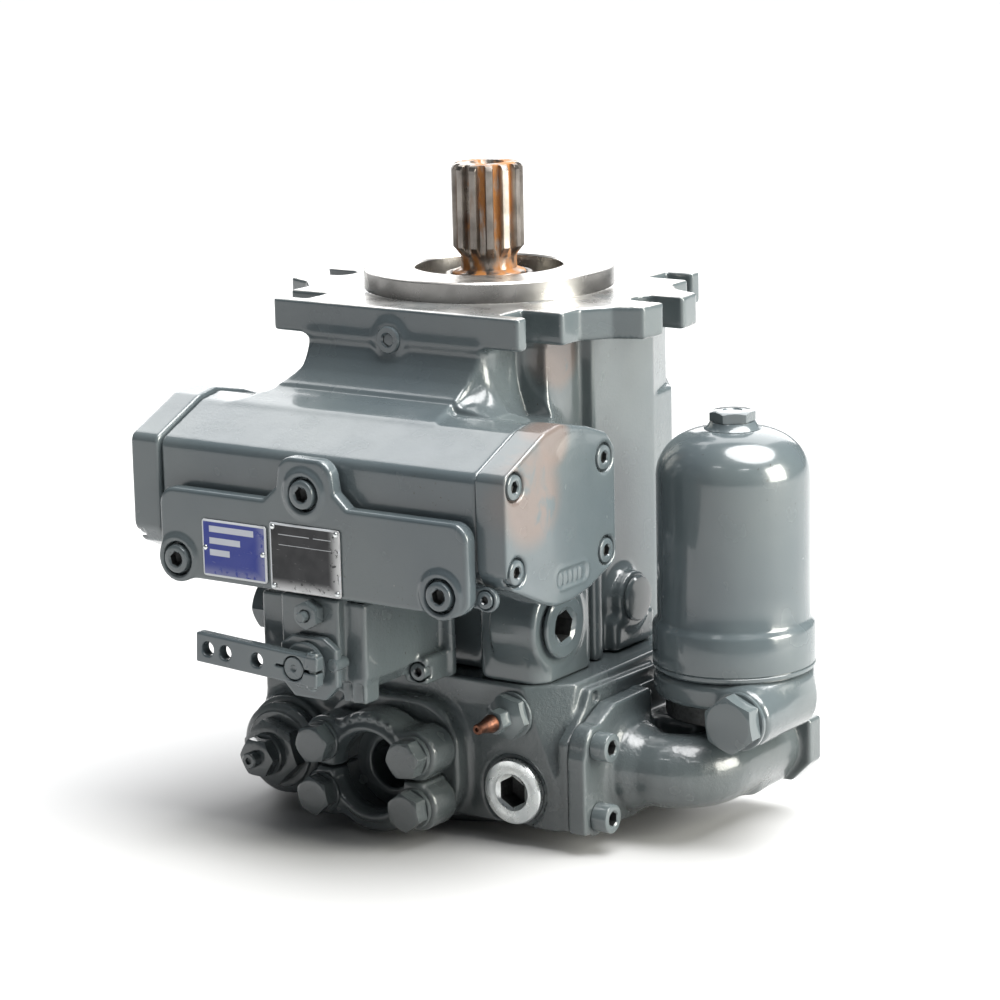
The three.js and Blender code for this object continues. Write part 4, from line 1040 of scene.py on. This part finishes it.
def block_fittings():
    side = many_sided(17, soft=0.05)
    rings = [
        (0, -19), (16, -19), (16, -0.5), (19, -0.5), (19.7, 0.2), (19.7, 3.6), (19.0, 4.6), (15.6, 5.0),
        (14.6, 4.8), (11.4, 4.8), (10.9, 4.4), (side, 3.6), (side, -9), (0, -11),
    ]
    plug = polar("zinc_port_plug", rings, (80, -100.3, 33), FRONT, 96, 25, dirty=2)
    dress(plug, ZINC, BODY, ["port_plug"])
    hexagon = hex_rings(24, 8.6, 2.4)
    rings = [(0, -13), (6.8, -13), (6.8, 0), (13.4, 0), (14, 0.5), (14, 2), (13.2, 2.4)] + hexagon
    rings += [(8.4, 11.2)] + hex_rings(13, 20.5, 11.6) + [(0, 20.7)]
    turned("bleed_fitting_hexagons", "bleed_fitting", rings, (80, -102.3, 80), spin=0.3)
    rings = [
        (0, 0), (5.5, 0), (5.5, 1.2), (4.4, 5), (3.4, 8.5), (3.2, 14.2), (2.6, 14.9), (1.3, 14.9), (1.2, 13),
        (0, 12.6),
    ]
    tip = polar("bleed_tip_cone", rings, (80, -124.3, 80), FRONT, 40)
    dress(tip, COPPER, BODY, ["bleed_tip"])
    rings = [
        (0, -38), (14.8, -38), (14.8, 0), (27, 0), (28, 1), (28, 6.5), (26.6, 7.8), (24.2, 8.4), (23.2, 9.6),
        (19, 9.8),
    ]
    rings += hex_rings(36, 19.5, 9.8) + [(13.2, 19.9), (13, 24), (12.2, 24.8), (0, 24.8)]
    seat = (-80, -112.2, 40)
    turned("relief_cartridge_body", "relief_cartridge", rings, seat, FRONT, 96, 30, ENAMEL_ROUGH, spin=0.25)
    rings = [(0, 0)] + hex_rings(22, 7.6)
    rings += [(5, 7.9), (5, 14), (4.2, 14.7), (2.2, 14.7), (2, 12.6), (0, 12.2)]
    seat = (-80, -137.3, 40)
    turned("relief_adjuster_nut", "relief_adjuster", rings, seat, material=ENAMEL_ROUGH, spin=0.5)


def rear_cover():
    rings = [
        (0, 0.4), (58, 0.4), (60, 2.6), (74, 2.6), (75, 0), (84.5, 0), (86, 1.5), (86, 10.2), (84.5, 11.7),
        (0, 11.7),
    ]
    plate = polar("charge_pump_end_cover", rings, segments=160)
    painted(plate, "charge_pump_cover", material=ENAMEL_ROUGH)


# ---- Suction manifold and filter ----


def suction_manifold():
    face = BLOCK_X + 0.3
    cast = Casting((face, -106, 10), (206, 49, 98), 1.15, 2.4)
    plate = [(-103, 12.5), (-103, 59), (-99, 69.3), (-80.5, 79.6), (-67.5, 85.4), (-27, 85.4), (-27, 12.5)]
    cast.join(prism("x", plate, (face, face + 12), 1, 3))
    web = [(-34, 12.5), (-34, 85.4), (-5, 85.4), (26, 57), (26, 12.5)]
    cast.join(prism("x", web, (face, face + 4), 1, 2), 2)
    y, z = SUCTION
    bend = [(148 + 26 * math.sin(t), y + 26 - 26 * math.cos(t), z) for t in np.linspace(0, math.pi / 2, 9)]
    cast.join(pipe([(face + 9, y, z), *bend, (174, 34, z)], 22), 7)
    cast.join(bar("x", SUCTION, 30, (face + 6, face + 22), 3, 24), 9)
    port = [(150, 20), (190, 20), (203, 33), (203, 60), (184, 60), (176, 66), (150, 66)]
    cast.join(prism("y", port, (34, 48), 1, 2), 1)
    cast.join(block((142, 168), (-30, 34), (17, 34), 4), 8)
    cast.join(block((face + 2, 160), (-24, 30), (30, 68), 5), 6)
    cast.join(block((158, 188), (-6, 34), (21, 60), 5), 5)
    cast.join(bar("z", (164.7, 0), 18, (24, 69.7), 0.5), 8)
    for screw in MANIFOLD_SCREWS:
        cast.join(bar("x", screw, 12, (face, face + 12.3), 0.8), 1)
    cast.cut(bar("x", SUCTION, 16, (face - 3, face + 20)))
    cast.cut(bar("y", (174, z), 16, (20, 52)), 1)
    cast.cut(bar("z", (164.7, 0), 9, (40, 75)))
    for screw in MANIFOLD_SCREWS:
        cast.cut(bar("x", screw, 5.6, (face - 3, face + 16)))
    return painted(cast.mesh("suction_manifold_casting"), "suction_manifold", material=ENAMEL_CAST)


def manifold_screws():
    for i, centre in enumerate(MANIFOLD_SCREWS):
        name, seat = f"manifold_screw_{i + 1}_head", (BLOCK_X + 12.9, *centre)
        screw = socket_screw(name, seat, RIGHT, 8.8, 10.5, 5, 24, 8, 1.2, spin=0.5 * i)
        painted(screw, f"manifold_screw_{i + 1}")


def filter_head():
    cast = Casting((122, -50, 69), (221, 48, 109), 1.1, 2.2)
    cast.join(bar("z", FILTER, 48, (82, 98.7), 5))
    cast.join(bar("z", FILTER, 31, (70.3, 90), 1), 1)
    cast.join(bar("y", HEAD_PLUG, 18, (-47, 16), 5), 6)
    cast.join(bar("z", FILTER, 12, (85, 108)))
    cast.cut(bar("z", FILTER, 7, (60, 112)))
    cast.cut(bar("y", HEAD_PLUG, 10.6, (-52, -20)), 0.5)
    painted(cast.mesh("filter_head_casting"), "filter_head", material=ENAMEL_CAST)
    # A near-black band round the head's neck under the bowl: painted shade in the gap above the elbow.
    rings = [(31.5, 70.4), (40, 70.4), (41, 71.4), (41, 81.2), (31.5, 81.2)]
    band = polar("filter_neck_shade_band", rings, (*FILTER, 0), segments=120)
    dress(band, RECESS_SHADE)


def filter_bowl():
    r, collar, top, height = 45.5, 48.5, 214, 29

    def dome(radius, base, rise, degrees):
        angles = [math.radians(d) for d in degrees]
        return [(radius * math.cos(t) ** 0.7, base + rise * math.sin(t)) for t in angles]

    rings = [
        (r - 4, 99), (collar - 1.2, 99), (collar, 100.2), (collar, 102), (collar - 0.6, 102.6), (collar, 103.2),
        (collar, 124.6), (collar - 0.8, 126.6), (r + 0.8, 128), (r, 130), (r, 150), (r, 190), (r, top - 8),
        (r, top),
    ]
    rings += dome(r, top, height, range(5, 81, 5))
    rings += [(17, 242.3), (14.8, 243.8), (13.4, 246.4), (8, 246.4), (8, 238)]
    rings += dome(r - 4, top - 2, 25, range(75, 0, -10)) + [(r - 4, 200)]
    bowl = polar("filter_bowl_shell", rings, (*FILTER, 0), segments=160, crease=40)
    painted(bowl, "filter_bowl", material=ENAMEL_BOWL)
    rings = [(0, -0.5), (11.6, -0.5), (11.6, 0)] + hex_rings(24, 5.9) + [(6, 6.1), (5.4, 5.5), (0, 5.5)]
    nut = polar("filter_bowl_nut", rings, (*FILTER, 246.7), segments=72, spin=0.1)
    painted(nut, "bowl_nut", material=ENAMEL_BOWL)
    rings = [(0, -26), (10.2, -26), (10.2, 0), (17, 0), (17.6, 0.6), (17.6, 2.6), (16.9, 3.2)]
    rings += hex_rings(30, 14.4, 3.2) + [(13.5, 14.55), (0, 14.6)]
    turned("filter_head_plug", "head_plug", rings, (202, -47.3, 80), spin=0.12)


def housing_plugs():
    side = many_sided(17, soft=0.05)
    rings = [
        (0, -27), (15.2, -27), (15.2, 0.4), (18.4, 0.4), (19, 1), (19, 2.6), (18, 3.4), (11.6, 3.4), (11, 3.0),
        (side, 2), (side, -9), (0, -11),
    ]
    turned("side_plug_head", "side_plug", rings, (100.3, *SIDE_PLUG), RIGHT, 96, 25, spin=0.2, dirty=2)
    rings = [(0, 0), (13.4, 0), (14, 0.6), (14, 2), (13, 3.2), (9, 3.9), (0, 4.1)]
    turned("pin_cap_disc", "pin_cap", rings, (99, *PIN_CAP), RIGHT)
    side = many_sided(6.8, soft=0.05)
    rings = [
        (0, -14), (6.9, -14), (6.9, 0), (7.7, 0), (8.2, 0.5), (8.2, 2.4), (7.4, 3.2), (4.6, 3.2), (4.3, 2.9),
        (side, 2.2), (side, -2), (0, -3),
    ]
    turned("flange_plug_head", "flange_plug", rings, (-2, -101.2, 296.5), crease=25, dirty=2)


# ---- Shaft end and pilot ----


def pilot():
    rings = [
        (45.3, 309), (75.8, 309), (75.8, 314.9), (76.2, 315.6), (76.2, PILOT_TOP - 1.2),
        (75.2, PILOT_TOP - 0.2), (74.8, PILOT_TOP), (46.4, PILOT_TOP), (45.3, PILOT_TOP - 1.1),
    ]
    ring = polar("pilot_ring", rings, segments=220, crease=25)
    dress(ring, TURNED)


def spline_radius():
    """Outline of the splined end: teeth with sloping flanks and round roots."""
    root, tip = 17.85, 21.85

    def radius(angle):
        phase = ((angle - math.radians(-52.5)) * TEETH / (2 * math.pi)) % 1.0
        off = np.abs(np.where(phase > 0.5, phase - 1, phase))
        t = np.clip((off - 0.19) / 0.12, 0, 1)
        return tip - (tip - root) * (t * t * (3 - 2 * t))

    return radius


def drive_shaft():
    toothed = spline_radius()

    def below(limit):
        return lambda angle: np.minimum(toothed(angle), limit)

    rings = [
        (0, 13), (10, 13), (10, 30), (20, 32), (20, 258), (22.4, 260), (22.4, 323.4), (21.9, 324), (17.3, 326),
        (17, 327), (17, 333), (below(17.4), 334.2), (below(19.6), 337), (below(21.85), 339.6), (toothed, 342),
        (toothed, 350), (toothed, 370), (toothed, 386.6), (below(21.2), 387.8), (below(20.4), 389),
        (below(19.2), 389.7), (16.6, SHAFT_TOP), (10.6, SHAFT_TOP), (7.6, 385), (4, 384.6), (4, 368), (0, 366),
    ]
    shaft = polar("shaft_splined_end", rings, segments=TEETH * 24, crease=22)
    dress(shaft, SHAFT, "rotating_group", ["drive_shaft"])


def seal_retainer():
    rings = [
        (23.2, 306.4), (44.6, 306.4), (44.6, 310.2), (43.8, 311), (38, 311), (36.5, 309.4), (33.5, 309.4),
        (32, 311), (29, 311.6), (27.4, 313.6), (27.2, 321.8), (26.2, 323), (24, 323), (23.2, 322),
    ]
    ring = polar("seal_retainer_ring", rings, segments=140, crease=28)
    dress(ring, DARK_STEEL, BODY, ["seal_retainer"])


# ---- Hidden inner pieces keep their frame shapes ----

INNER_STEEL = (
    "front_bearing", "rear_bearing", "cylinder_block", "piston_set", "swash_cradle", "swashplate",
    "servo_piston", "charge_gear", "charge_ring_gear",
)
INNER = dict.fromkeys(INNER_STEEL, GROUND_STEEL) | {"valve_plate": BRONZE, "filter_element": PAPER}


def inner_pieces():
    for name, material in INNER.items():
        node = bpy.data.objects[name]
        node.data.materials.clear()
        node.data.materials.append(material)


# ---- Studio ----


def studio():
    """A pale floor under a broad ceiling, two softboxes and two lamp strips that the enamel mirrors."""
    bpy.ops.mesh.primitive_plane_add(size=1, location=(0, 0, 0))
    floor = bpy.context.object
    floor.name = "studio_floor"
    floor.data.transform(Matrix.Diagonal((34, 34, 1, 1)))
    net = Net("pale_floor")
    tone = net.ramp(net.noise(3, 2), 0.3, 0.7, 0.0, 1.0)
    pale = net.mix(tone, (0.435, 0.435, 0.435, 1), (0.425, 0.425, 0.425, 1))
    floor.data.materials.append(net.finish(pale, 0.8))
    lamp = bpy.data.lights.new("ceiling_light", "SUN")
    lamp.energy, lamp.angle = 7.6, math.radians(52)
    linked("ceiling_light", lamp).rotation_euler = (math.radians(-8), math.radians(17), 0)
    light("back_softbox", (-1.4, 2.0, 1.9), (0, 0, 0.25), (3.4, 3.0), 90, (1, 1, 1))
    light("right_softbox", (2.6, 0.5, 1.0), (0, 0, 0.2), (1.4, 1.5), 120, (1.0, 0.985, 0.9))
    light("lamp_strip_near", (1.5, -1.1, 1.7), (0.1, 0, 0.2), (0.5, 0.06), 1.6, (1, 1, 1))
    light("lamp_strip_far", (0.2, -1.7, 2.0), (0, -0.1, 0.2), (0.5, 0.06), 1.6, (1, 1, 1))
    world = bpy.data.worlds.new("studio_air")
    world.use_nodes = True
    sky = world.node_tree.nodes["Background"]
    sky.inputs["Color"].default_value = (0.86, 0.94, 1, 1)
    sky.inputs["Strength"].default_value = 0.12
    bpy.context.scene.world = world
    bpy.context.scene.view_settings.view_transform = "Standard"


def light(name, at, target, size, watts, color):
    lamp = bpy.data.lights.new(name, "AREA")
    lamp.shape = "RECTANGLE"
    (lamp.size, lamp.size_y), lamp.energy, lamp.color = size, watts, color
    thing = linked(name, lamp)
    thing.location = at
    thing.rotation_euler = (Vector(target) - Vector(at)).to_track_quat("-Z", "Y").to_euler()


def camera():
    """A long lens, placed where the flange, the shaft and the rear end line up with the reference photo."""
    lens = bpy.data.cameras.new("photo_camera")
    lens.lens, lens.sensor_width = 121.93, 36.0
    lens.clip_start, lens.clip_end = 0.1, 100
    thing = linked("photo_camera", lens)
    right = (0.82683283, 0.56203129, -0.02164017)
    up = (-0.10403728, 0.19063902, 0.97613165)
    back = (0.552742, -0.80484631, 0.21609881)
    axes = Matrix((right, up, back)).transposed().to_4x4()
    thing.matrix_world = Matrix.Translation((1.159369, -1.682001, 0.632518)) @ axes
    bpy.context.scene.camera = thing


housing()
servo_cover(1, "servo_cover_right_casting")
servo_cover(-1, "servo_cover_left_casting")
cover_screws()
control_cover_plate()
plate_screws()
name_plates()
valve_block()
guard_plate()
control_lever()
control_fittings()
port_block()
split_flange(1, "split_flange_upper")
split_flange(-1, "split_flange_lower")
port_bolts()
block_fittings()
rear_cover()
suction_manifold()
manifold_screws()
filter_head()
filter_bowl()
housing_plugs()
pilot()
drive_shaft()
seal_retainer()
inner_pieces()
studio()
camera()
